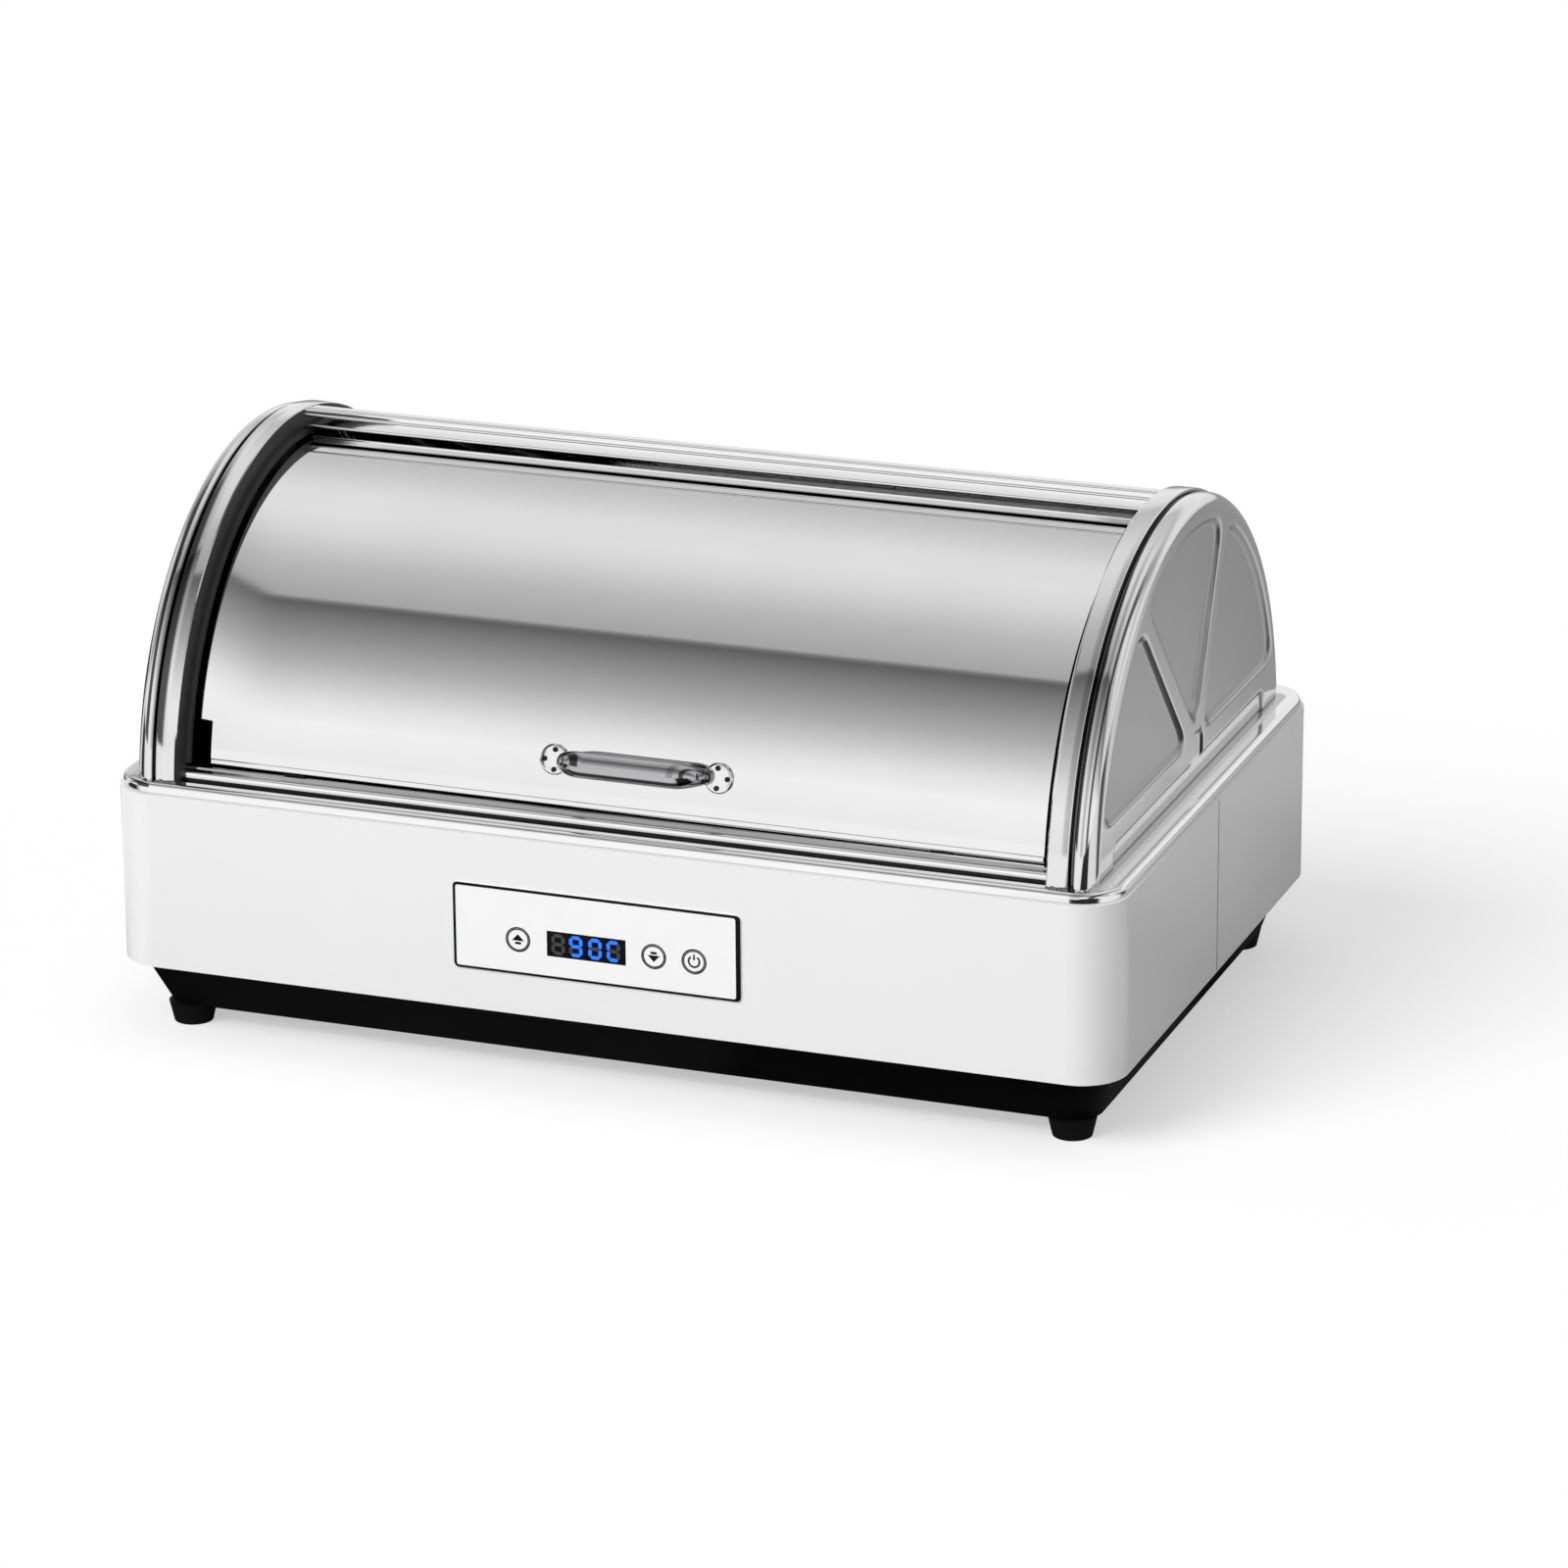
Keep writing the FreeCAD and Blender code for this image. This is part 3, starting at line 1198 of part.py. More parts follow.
def add_bow(sketch, half, foot, reach, bend):
    """The grip's centre line: up one leg, across, and down the other, with round corners."""
    wide, high, low, turn = 39.0, 20.0, -0.5, 11.0
    level = high - turn
    inner = wide - turn
    left = Part.Circle(Vector(-inner, level, 0), Vector(0, 0, 1), turn)
    right = Part.Circle(Vector(inner, level, 0), Vector(0, 0, 1), turn)
    sketch.addGeometry(Part.LineSegment(Vector(-wide, low, 0), Vector(-wide, level, 0)), False)
    sketch.addGeometry(Part.ArcOfCircle(left, math.pi / 2, math.pi), False)
    sketch.addGeometry(Part.LineSegment(Vector(-inner, high, 0), Vector(inner, high, 0)), False)
    sketch.addGeometry(Part.ArcOfCircle(right, 0, math.pi / 2), False)
    sketch.addGeometry(Part.LineSegment(Vector(wide, level, 0), Vector(wide, low, 0)), False)
    for first, first_end, second, second_end in ((0, 2, 1, 2), (1, 1, 2, 1), (2, 2, 3, 2), (3, 1, 4, 1)):
        sketch.addConstraint(Sketcher.Constraint("Tangent", first, first_end, second, second_end))
    sketch.addConstraint(Sketcher.Constraint("Vertical", 0))
    sketch.addConstraint(Sketcher.Constraint("Vertical", 4))
    sketch.addConstraint(Sketcher.Constraint("Horizontal", 2))
    rule_for(sketch, Sketcher.Constraint("Radius", 1, turn), bend)
    rule_for(sketch, Sketcher.Constraint("Radius", 3, turn), bend)
    rule_for(sketch, Sketcher.Constraint("DistanceX", 0, 1, -1, 1, wide), half)
    rule_for(sketch, Sketcher.Constraint("DistanceX", -1, 1, 4, 2, wide), half)
    rule_for(sketch, Sketcher.Constraint("DistanceY", -1, 1, 2, 1, high), reach)
    rule_for(sketch, Sketcher.Constraint("DistanceY", -1, 1, 0, 1, low), foot)
    rule_for(sketch, Sketcher.Constraint("DistanceY", -1, 1, 4, 2, low), foot)


# Control panel on the front wrap, and the electronics behind it

def make_control_panel():
    body = new_body("overlay_sheet")
    outline = new_sketch(body, "overlay_outline", "XZ_Plane", "housing_depth / 2")
    add_rounded(outline, "panel_width / 2", "panel_height / 2", "panel_corner", cx="panel_centre", cy="PANEL_Z")
    pad(body, outline, "overlay")
    doc.recompute()
    tools = [box("overlay_window", "window_width", "3 * overlay", "window_height", "WINDOW_X - window_width / 2",
                 "FRONT - 2 * overlay", "WINDOW_Z - window_height / 2")]
    for name, where in key_places().items():
        tools.append(rod(name + "_overlay_hole", "key_radius + key_slip", "3 * overlay", where,
                         "FRONT - 2 * overlay", "WINDOW_Z", ALONG_Y))
    keep(cut("overlay_cut", body, tools), "control_panel")
    keep(box("window_lens", "window_width", "overlay + housing_wall", "window_height",
             "WINDOW_X - window_width / 2", "FRONT - overlay", "WINDOW_Z - window_height / 2"),
         "display_window")


def make_keys():
    """Three flush keys: each with a retaining plate behind the wall and a stem short of its switch."""
    plate_start = "(INSIDE + key_gap)"
    switch_top = "(BOARD - switch_height)"
    switches = []
    for name, where in key_places().items():
        face = rod(name + "_face", "key_radius", "overlay + housing_wall + key_gap", where, "FRONT - overlay",
                   "WINDOW_Z", ALONG_Y)
        plate = rod(name + "_plate", "key_flange", "key_plate", where, plate_start, "WINDOW_Z", ALONG_Y)
        stem = rod(name + "_stem", "key_stem", "%s - key_travel - key_rest - %s" % (switch_top, plate_start),
                   where, plate_start, "WINDOW_Z", ALONG_Y)
        keep(fuse(name + "_whole", [face, plate, stem]), name)
        switches.append(box(name + "_switch", "2 * switch_half", "switch_height", "2 * switch_half",
                            "%s - switch_half" % where, switch_top, "WINDOW_Z - switch_half"))
    keep(group("key_switch_set", switches), "key_switches")


def make_electronics():
    keep(box("board", "board_width", "board_sheet", "board_height", "panel_centre - board_width / 2", "BOARD",
             "PANEL_Z - board_height / 2"), "control_board")
    keep(box("module", "window_width + 2 * module_margin", "board_gap", "window_height + 2 * module_margin",
             "WINDOW_X - window_width / 2 - module_margin", "INSIDE",
             "WINDOW_Z - window_height / 2 - module_margin"), "display_module")
    posts = []
    for across in (-1, 1):
        for up in (-1, 1):
            posts.append(rod("board_post_%d_%d" % (across + 2, up + 2), "post_radius", "board_gap",
                             "panel_centre + %d * (board_width / 2 - post_inset)" % across, "INSIDE",
                             "PANEL_Z + %d * (board_height / 2 - post_inset)" % up, ALONG_Y))
    keep(group("board_post_set", posts), "board_posts")
    keep(box("relay_body", "relay_width", "relay_depth", "relay_height", "relay_place - relay_width / 2",
             "BOARD + board_sheet", "PANEL_Z - relay_height / 2"), "relay_block")


# Mains inlet in the rear wrap

def make_power_inlet():
    wall = "(housing_depth / 2)"
    body = box("inlet_body", "inlet_width", "inlet_depth", "inlet_height", "INLET_X - inlet_width / 2",
               wall + " - inlet_depth", "INLET_Z - inlet_height / 2")
    flange = box("inlet_flange", "inlet_flange_width", "overlay", "inlet_flange_height",
                 "INLET_X - inlet_flange_width / 2", wall, "INLET_Z - inlet_flange_height / 2")
    tools = [box("inlet_cavity", "inlet_width - 2 * inlet_wall", "inlet_depth + overlay",
                 "inlet_height - 2 * inlet_wall",
                 "INLET_X - inlet_width / 2 + inlet_wall", wall + " - inlet_depth + inlet_wall",
                 "INLET_Z - inlet_height / 2 + inlet_wall")]
    rivets = []
    for name, side in SIDES:
        tools.append(rod("inlet_rivet_hole_" + name, "inlet_rivet", "3 * overlay", inlet_rivet_x(side),
                         wall + " - overlay", "INLET_Z", ALONG_Y))
        shank = rod("inlet_rivet_shank_" + name, "inlet_rivet", "overlay + housing_wall + rivet_rise",
                    inlet_rivet_x(side), wall + " - housing_wall - rivet_rise", "INLET_Z", ALONG_Y)
        head = rod("inlet_rivet_head_" + name, "inlet_rivet_head", "rivet_rise", inlet_rivet_x(side),
                   wall + " - housing_wall - rivet_rise", "INLET_Z", ALONG_Y)
        rivets.append(fuse("inlet_rivet_" + name, [shank, head]))
    keep(cut("inlet_cut", fuse("inlet_whole", [body, flange]), tools), "power_inlet")
    keep(group("inlet_rivet_pair", rivets), "inlet_rivets")
    blades = []
    for number, (across, up) in enumerate(((-1, -0.5), (0, 0.5), (1, -0.5)), start=1):
        blades.append(box("inlet_blade_%d" % number, "inlet_blade", "inlet_depth - inlet_wall - inlet_mouth",
                          "2 * inlet_blade",
                          "INLET_X + %d * inlet_blade_pitch - inlet_blade / 2" % across,
                          wall + " - inlet_depth + inlet_wall",
                          "INLET_Z + %g * inlet_blade_offset - inlet_blade" % up))
    keep(group("inlet_blade_set", blades), "inlet_blades")


make_housing_front()
make_housing_rear()
make_seam_strips()
make_base_tray()
make_feet()
make_tray_screws()
make_rim()
make_rim_fasteners()
make_pans()
make_heating()
make_end_caps()
make_arch_seals()
make_rear_cover()
make_top_bar()
make_front_sill()
make_lid_bumpers()
make_pivot_brackets()
make_pivot_bushes()
make_pivot_pins()
make_lid_arms()
make_lid_shell()
make_handle()
make_control_panel()
make_keys()
make_electronics()
make_power_inlet()
doc.recompute()

# Every object and every sub-part has to be sound before anything is written
for thing in doc.Objects:
    if "Invalid" in thing.State or "Error" in thing.State:
        raise RuntimeError("%s did not compute" % thing.Label)
for thing in finished:
    if thing.Shape.isNull() or not thing.Shape.isValid():
        raise RuntimeError("%s has no valid shape" % thing.Label)

os.makedirs("parts", exist_ok=True)
for thing in finished:
    thing.Shape.exportStep(os.path.join("parts", thing.Label + ".step"))
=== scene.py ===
# %% [markdown]
# # A roll-top chafing dish, dressed around its CAD frame
# The dish is a white sheet-metal base on a black tray, a stainless rim, two pressed D-shaped caps and a lid
# that rolls up and back between them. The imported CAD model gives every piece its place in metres, so this
# file adds what a camera sees and CAD leaves out: soft pressed edges, finishes, light, floor and camera.

# %% Load the frame and keep its box
import bmesh
import bpy
import json
import math
from mathutils import Euler, Matrix, Vector


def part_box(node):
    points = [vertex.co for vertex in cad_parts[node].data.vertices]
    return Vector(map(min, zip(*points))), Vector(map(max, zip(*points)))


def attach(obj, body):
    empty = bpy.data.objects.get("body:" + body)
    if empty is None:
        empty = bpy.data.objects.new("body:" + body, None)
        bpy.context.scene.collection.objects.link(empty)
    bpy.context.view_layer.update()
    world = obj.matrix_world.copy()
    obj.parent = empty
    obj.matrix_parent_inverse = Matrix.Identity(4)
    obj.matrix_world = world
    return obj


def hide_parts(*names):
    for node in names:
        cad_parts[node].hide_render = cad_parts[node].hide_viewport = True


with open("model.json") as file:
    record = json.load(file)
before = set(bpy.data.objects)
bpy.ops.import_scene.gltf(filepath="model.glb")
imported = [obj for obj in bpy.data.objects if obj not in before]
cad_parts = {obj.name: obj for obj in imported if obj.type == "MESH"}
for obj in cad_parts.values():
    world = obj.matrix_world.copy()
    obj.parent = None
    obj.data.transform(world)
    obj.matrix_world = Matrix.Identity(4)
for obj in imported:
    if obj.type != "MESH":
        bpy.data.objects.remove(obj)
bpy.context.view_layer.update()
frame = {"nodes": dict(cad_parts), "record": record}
nodes = frame["nodes"]
MM = 0.001
PAIR = (("left", -1), ("right", 1))
print("loaded", len(nodes), "nodes")

# %% [markdown]
# ## Two small tools for node trees
# Paint charts and photographs give colours as sRGB hex values, while Blender's sockets want linear light, so
# one function turns one into the other. The other adds a node of any kind with its settings and its links in
# one line and hands back the output that the next node needs, so that each tree below reads from top to
# bottom like a recipe.

# %% Colour and node helpers
def linear(hexcode):
    """An sRGB hex value as the linear colour that a socket wants."""
    parts = [int(hexcode[i:i + 2], 16) / 255 for i in (1, 3, 5)]
    return [c / 12.92 if c <= 0.04045 else ((c + 0.055) / 1.055) ** 2.4 for c in parts] + [1.0]


def add(tree, kind, inputs=None, out=0, **settings):
    """Add a node: settings are its properties, inputs its values or links by socket name or number.

    It gives back one output, by name or number, or all of them where out is None.
    """
    node = tree.nodes.new(kind)
    for name, value in settings.items():
        setattr(node, name, value)
    for name, value in (inputs or {}).items():
        if isinstance(value, bpy.types.NodeSocket):
            tree.links.new(value, node.inputs[name])
        else:
            node.inputs[name].default_value = value
    return node.outputs if out is None else node.outputs[out]


print("half grey is", round(linear("#808080")[0], 3), "in linear light")

# %% [markdown]
# ## How a material starts
# Every finish here is a pattern in space, so each material starts from the point's own place in metres. A
# noise pattern's scale is the inverse of the size of its spots, which lets each grain be written down as the
# millimetres that it measures on the real object.

# %% The start of a material
def new_material(name):
    """An empty node material with its tree and the place of each point in metres."""
    material = bpy.data.materials.new(name)
    material.use_nodes = True
    tree = material.node_tree
    tree.nodes.clear()
    return material, tree, add(tree, "ShaderNodeTexCoord", out="Object")


def spots_of(size_mm):
    """The scale at which a noise pattern's spots have about this size."""
    return 1 / (size_mm * MM)


print("spots of 2 mm need a scale of", round(spots_of(2)))

# %% [markdown]
# ## Powder coat
# The base is zinc-coated steel sheet, sprayed with polyester powder and baked. The powder melts into a skin
# with a faint orange peel of about two millimetres and a soft gloss. It could be a plain white, but the peel
# is what makes a highlight on the rounded corner look sprayed rather than moulded.

# %% Powder coats
def powder_coat(name, dark, light, peel_mm, gloss, shine=0.5):
    material, tree, place = new_material(name)
    cloud = add(tree, "ShaderNodeTexNoise", {"Vector": place, "Scale": spots_of(90), "Detail": 3.0})
    peel = add(tree, "ShaderNodeTexNoise", {"Vector": place, "Scale": spots_of(peel_mm), "Detail": 2.0})
    tint = add(tree, "ShaderNodeMix", {0: cloud, 6: linear(dark), 7: linear(light)}, 2, data_type="RGBA")
    matt = add(tree, "ShaderNodeMapRange", {"Value": cloud, "To Min": gloss - 0.04, "To Max": gloss + 0.05})
    bump = add(tree, "ShaderNodeBump", {"Height": peel, "Distance": 0.02 * MM, "Strength": 1.0})
    shader = add(tree, "ShaderNodeBsdfPrincipled", {"Base Color": tint, "Roughness": matt, "Normal": bump,
                                                    "Specular IOR Level": shine})
    add(tree, "ShaderNodeOutputMaterial", {"Surface": shader}, None)
    return material


# The wraps: white, with a soft sheen on the rounded corners.
white_powder_coat = powder_coat("white_powder_coat", "#EDEDEE", "#F1F1F1", 2.2, 0.32)
# The tray: near black and duller, so that it reads as a shadow gap under the base.
black_powder_coat = powder_coat("black_powder_coat", "#0A0A0B", "#101012", 1.6, 0.42, 0.22)
# Where two wraps meet, a thin grey line of painted shade stands for the shadow in the joint.
joint_shadow_paint = powder_coat("painted_joint_shadow", "#5E5E5F", "#6C6C6D", 0.9, 0.6, 0.2)
print("powder coats made")

# %% [markdown]
# ## Stainless and other steels
# The bright sheet is 18/8 stainless. The lid is roller-polished, so it mirrors the room, but thin sheet bent
# to a curve is never flat: waves some hundred millimetres long bend the reflections a little. A satin skin
# comes from a fine abrasive belt, drawn here coarser than its real tenth of a millimetre so that it shows. One
# recipe with grain, cloud and waves covers them all; the numbers tell one finish from another.

# %% Steel recipe
def stainless(name, dark, light, gloss, spread, grain_mm, grain_depth, wave_mm, wave_depth):
    """Steel whose grain runs along X; gloss is its roughness and spread how much that varies."""
    material, tree, place = new_material(name)
    drawn_out = add(tree, "ShaderNodeMapping", {"Vector": place, "Scale": (0.02, 1.0, 1.0)})
    grain = add(tree, "ShaderNodeTexNoise", {"Vector": drawn_out, "Scale": spots_of(grain_mm), "Detail": 3.0})
    cloud = add(tree, "ShaderNodeTexNoise", {"Vector": place, "Scale": spots_of(60), "Detail": 3.0})
    swell = add(tree, "ShaderNodeTexNoise", {"Vector": place, "Scale": spots_of(wave_mm), "Detail": 1.0})
    tint = add(tree, "ShaderNodeMix", {0: cloud, 6: linear(dark), 7: linear(light)}, 2, data_type="RGBA")
    matt = add(tree, "ShaderNodeMapRange", {"Value": grain, "To Min": gloss - spread, "To Max": gloss + spread})
    waves = add(tree, "ShaderNodeBump", {"Height": swell, "Distance": wave_depth * MM, "Strength": 1.0})
    brushed = add(tree, "ShaderNodeBump", {"Height": grain, "Distance": grain_depth * MM, "Strength": 1.0,
                                           "Normal": waves})
    shader = add(tree, "ShaderNodeBsdfPrincipled", {"Base Color": tint, "Metallic": 1.0, "Roughness": matt,
                                                    "Normal": brushed})
    add(tree, "ShaderNodeOutputMaterial", {"Surface": shader}, None)
    return material


print("steel recipe ready")

# %% Steels
# The lid and the grip's plates: almost a mirror, with long slow waves.
mirror_steel = stainless("mirror_polished_stainless", "#D8D8D8", "#DFDFDF", 0.03, 0.01, 0.8, 0.0002, 130, 0.03)
# The rim, the bar and the sill: bright, with reflections a little softer than the lid's.
rim_steel = stainless("bright_rim_stainless", "#DEDEDE", "#E8E8E8", 0.08, 0.02, 0.8, 0.0003, 90, 0.015)
# Arms, cover and cap flanges: a belt finish, grey and softly shining.
satin_steel = stainless("satin_pressed_stainless", "#B9B9B9", "#C6C6C6", 0.30, 0.05, 0.6, 0.002, 80, 0.05)
# The pans: the same sheet, dulled by the drawing press and by washing.
pan_steel = stainless("drawn_pan_stainless", "#C4C4C2", "#D0D0CE", 0.22, 0.06, 0.7, 0.003, 60, 0.05)
# The welds: brushed clean, a trace of straw colour left.
weld_steel = stainless("brushed_weld_stainless", "#8E8C88", "#B9B6B0", 0.30, 0.08, 0.4, 0.004, 5, 0.02)
# Rivets: dull and dark beside polished sheet. The sill's undercut and the seams' backing strips take the same
# dark steel as painted shade.
rivet_and_shade_steel = stainless("dull_dark_steel", "#262627", "#363637", 0.32, 0.05, 0.4, 0.002, 5, 0.01)
# The grip: plated, darker than stainless and very smooth.
chrome = stainless("polished_handle_chrome", "#A2A2A4", "#B0B0B2", 0.09, 0.02, 0.9, 0.0, 40, 0.01)
# Screws, studs, nuts and posts: blue-grey zinc.
zinc_plate = stainless("zinc_plated_fastener", "#9EA2A6", "#B6B9BA", 0.34, 0.06, 0.5, 0.004, 6, 0.01)
# The heater's tube: brown-black from its own heat.
sheath_steel = stainless("oxidised_heater_sheath", "#3B3632", "#57504A", 0.50, 0.08, 0.6, 0.005, 8, 0.02)
# The shield under the heater: hot-dipped aluminium, pale and cloudy.
aluminised = stainless("aluminised_shield_sheet", "#A9ABAD", "#BEC0C1", 0.38, 0.06, 0.7, 0.004, 30, 0.04)
print("steels made")

# %% [markdown]
# ## Rubber, plastics and ceramic
# The feet and seals are black rubber: a moulded skin with almost no gloss, a little paler where hands and
# tables have rubbed it. The inlet and the board's parts are moulded nylon with a fine spark-eroded texture.
# The beads under the heater are unglazed steatite. All come from a mould or a press, so one recipe serves.

# %% Moulded recipe
def moulded(name, dark, light, gloss, texture_mm, depth_mm, shine=0.5):
    material, tree, place = new_material(name)
    cloud = add(tree, "ShaderNodeTexNoise", {"Vector": place, "Scale": spots_of(18), "Detail": 3.0})
    skin = add(tree, "ShaderNodeTexNoise", {"Vector": place, "Scale": spots_of(texture_mm), "Detail": 2.0})
    tint = add(tree, "ShaderNodeMix", {0: cloud, 6: linear(dark), 7: linear(light)}, 2, data_type="RGBA")
    matt = add(tree, "ShaderNodeMapRange", {"Value": cloud, "To Min": gloss - 0.05, "To Max": gloss + 0.05})
    bump = add(tree, "ShaderNodeBump", {"Height": skin, "Distance": depth_mm * MM, "Strength": 1.0})
    shader = add(tree, "ShaderNodeBsdfPrincipled", {"Base Color": tint, "Roughness": matt, "Normal": bump,
                                                    "Specular IOR Level": shine})
    add(tree, "ShaderNodeOutputMaterial", {"Surface": shader}, None)
    return material


print("moulded recipe ready")

# %% Rubber, plastics, ceramic and print
# Feet and bumpers: black, hardly any gloss.
foot_rubber = moulded("moulded_black_rubber", "#0D0D0E", "#171718", 0.62, 1.1, 0.02, 0.25)
# The seals inside the caps: dark grey, so that the lid's end reads as a soft dark line.
seal_rubber = moulded("dark_grey_seal_rubber", "#343436", "#404042", 0.55, 1.0, 0.01)
# Inlet, relay and bushes: moulded nylon with a fine matt texture.
inlet_nylon = moulded("black_inlet_nylon", "#141415", "#1E1E20", 0.46, 0.8, 0.015)
relay_plastic = moulded("dark_relay_plastic", "#1C1E22", "#26282D", 0.42, 0.8, 0.01)
bush_nylon = moulded("natural_bush_nylon", "#D9D4C6", "#E4E0D4", 0.44, 0.9, 0.01)
# Heater rests: chalky ceramic.
steatite = moulded("unglazed_steatite", "#E2DCCE", "#ECE7DC", 0.72, 0.9, 0.02)
# The board: glass laminate under green lacquer.
board_laminate = moulded("green_board_laminate", "#1B5B38", "#236B44", 0.34, 1.5, 0.01)
# The keypad: white film and white keys, a touch brighter than the paint around them.
overlay_film = moulded("printed_overlay_film", "#F6F6F6", "#FAFAFA", 0.36, 0.7, 0.004)
key_cap = moulded("white_key_polycarbonate", "#F6F6F6", "#FAFAFA", 0.30, 0.7, 0.004)
# Ink: flat black that doesn't shine.
overlay_ink = moulded("screen_printed_black_ink", "#060607", "#0C0C0D", 0.42, 0.6, 0.004, 0.15)
# The window: smoked acrylic that is smooth and nearly black.
display_lens = moulded("smoked_display_acrylic", "#050506", "#090909", 0.20, 3.0, 0.002, 0.12)
# Bars that are off: slightly paler than the black around them.
dark_segment = moulded("unlit_segment", "#38383A", "#434345", 0.5, 1.0, 0.002)
print("moulded materials made")

# %% [markdown]
# ## Lit segments
# The read-out is a four-digit light-emitting display behind the smoked lens. Its lit bars glow an even blue, so
# they are the one thing here with light of its own, at the strength where the blue shows as it is written.

# %% Lit segments
def glowing(name, hexcode, strength):
    material, tree, place = new_material(name)
    spots = add(tree, "ShaderNodeTexNoise", {"Vector": place, "Scale": spots_of(3), "Detail": 1.0})
    matt = add(tree, "ShaderNodeMapRange", {"Value": spots, "To Min": 0.38, "To Max": 0.42})
    shader = add(tree, "ShaderNodeBsdfPrincipled", {"Base Color": linear(hexcode), "Roughness": matt,
                                                    "Emission Color": linear(hexcode),
                                                    "Emission Strength": strength})
    add(tree, "ShaderNodeOutputMaterial", {"Surface": shader}, None)
    return material


lit_segment = glowing("blue_lit_segment", "#1B62EE", 1.0)
print("display material made")

# %% [markdown]
# ## A finish for every CAD node
# The record already says what each node is made of through its material slot. One table from slots to the
# finishes above dresses all the nodes at once, so a node that is added later can't be forgotten, and a
# second, short one names the nodes whose finish differs from their slot's.

# %% Dress the CAD nodes
FINISH_OF_SLOT = {
    "white_paint": white_powder_coat,
    "polished_steel": rim_steel,
    "lid_steel": mirror_steel,
    "satin_steel": satin_steel,
    "zinc_steel": zinc_plate,
    "heater_steel": sheath_steel,
    "aluminised_sheet": aluminised,
    "chrome": chrome,
    "black_plastic": inlet_nylon,
    "black_rubber": foot_rubber,
    "dark_moulding": relay_plastic,
    "pale_moulding": bush_nylon,
    "ceramic": steatite,
    "white_overlay": overlay_film,
    "white_key": key_cap,
    "dark_lens": display_lens,
    "green_board": board_laminate,
}
FINISH_OF_NODE = {
    "base_tray": black_powder_coat,
    "food_pan": pan_steel,
    "water_pan": pan_steel,
    "pivot_bracket_left": pan_steel,
    "pivot_bracket_right": pan_steel,
    # The backing strips behind the seams are dark as painted shade in the joints.
    "seam_strips": rivet_and_shade_steel,
    "handle_rivets": rivet_and_shade_steel,
    "arch_seal_left": seal_rubber,
    "arch_seal_right": seal_rubber,
}
for part in frame["record"]["subparts"]:
    finish = FINISH_OF_NODE.get(part["node"], FINISH_OF_SLOT[part["material_slot"]])
    skin = nodes[part["node"]].data.materials
    skin.clear()
    skin.append(finish)

# %% [markdown]
# ## From points to a mesh
# Every finished piece is a plain closed mesh at the origin, like a CAD node. Doubles are merged first, then
# the faces are turned outwards, and edges sharper than thirty degrees stay crisp while the rest is smooth. Many
# pieces here are a skin over a row of rings, such as a bar's two ends or a bow's many sections.

# %% Meshes
CREASE = math.radians(30)
DOUBLE = 0.002 * MM


def tidied(mesh, turn=True):
    """Merge doubles, turn faces outwards and keep only real edges crisp."""
    shape = bmesh.new()
    shape.from_mesh(mesh)
    bmesh.ops.remove_doubles(shape, verts=shape.verts, dist=DOUBLE)
    if turn:
        bmesh.ops.recalc_face_normals(shape, faces=shape.faces)
    for face in shape.faces:
        face.smooth = True
    for edge in shape.edges:
        edge.smooth = len(edge.link_faces) == 2 and edge.calc_face_angle(0.0) < CREASE
    shape.to_mesh(mesh)
    shape.free()
    return mesh


def mesh_of(name, points, faces):
    """A mesh from points in millimetres."""
    mesh = bpy.data.meshes.new(name)
    mesh.from_pydata([tuple(MM * c for c in point) for point in points], [], faces)
    return mesh


def skin_over(name, rings):
    """A closed mesh over rings of equally many points, with both ends filled."""
    count = len(rings[0])
    points = [tuple(spot) for ring in rings for spot in ring]
    faces = [tuple(range(count))[::-1], tuple(range(len(points) - count, len(points)))]
    for start in range(0, len(points) - count, count):
        for k in range(count):
            a, b = start + k, start + (k + 1) % count
            faces.append((a, b, b + count, a + count))
    return tidied(mesh_of(name, points, faces))


print("edges stay crisp above", round(math.degrees(CREASE)), "degrees")

# %% [markdown]
# ## From a mesh to a piece
# A piece is a mesh with a finish, a body that it moves with, and the CAD nodes that it stands for. These CAD
# nodes are hidden but stay where they are, so the part still collides and moves as it was built.

# %% Pieces
def new_piece(name, mesh, material, body, replaced=()):
    """Show a mesh as one piece of the object, on its body and instead of the CAD nodes it stands for."""
    piece = bpy.data.objects.new(name, mesh)
    bpy.context.scene.collection.objects.link(piece)
    if not mesh.materials:
        mesh.materials.append(material)
    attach(piece, body)
    if replaced:
        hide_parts(*replaced)
    print(name, len(mesh.polygons), "faces")


# %% [markdown]
# ## Modifiers and Geometry Nodes
# A bevel, a sheet's thickness or a whole Geometry Nodes tree is run on a helper object. Its result is copied
# out as a plain mesh and the helper is removed, because the export and the moving bodies want finished meshes.
# A tree starts with its sizes as named inputs and ends with real geometry.

# %% Results as plain meshes
def worked_out(name, mesh, kind, settings, inputs):
    """The plain mesh that one modifier makes, with its settings and the inputs of its tree."""
    maker = bpy.data.objects.new(name + "_maker", mesh)
    bpy.context.scene.collection.objects.link(maker)
    modifier = maker.modifiers.new(kind, kind)
    for key, value in settings.items():
        setattr(modifier, key, value)
    for key, value in inputs.items():
        modifier[key] = value
    result = bpy.data.meshes.new_from_object(maker.evaluated_get(bpy.context.evaluated_depsgraph_get()))
    bpy.data.objects.remove(maker)
    result.name = name
    return result


def with_modifier(name, mesh, kind, **settings):
    """A mesh with one modifier applied, edges and smoothing set again."""
    return tidied(worked_out(name, mesh, kind, settings, {}), turn=False)


def grown(tree, name, **sizes):
    """The plain mesh that a Geometry Nodes tree makes with these sizes."""
    inputs = {item.identifier: sizes[item.name] for item in tree.interface.items_tree if item.name in sizes}
    return worked_out(name, bpy.data.meshes.new(name), "NODES", {"node_group": tree}, inputs)


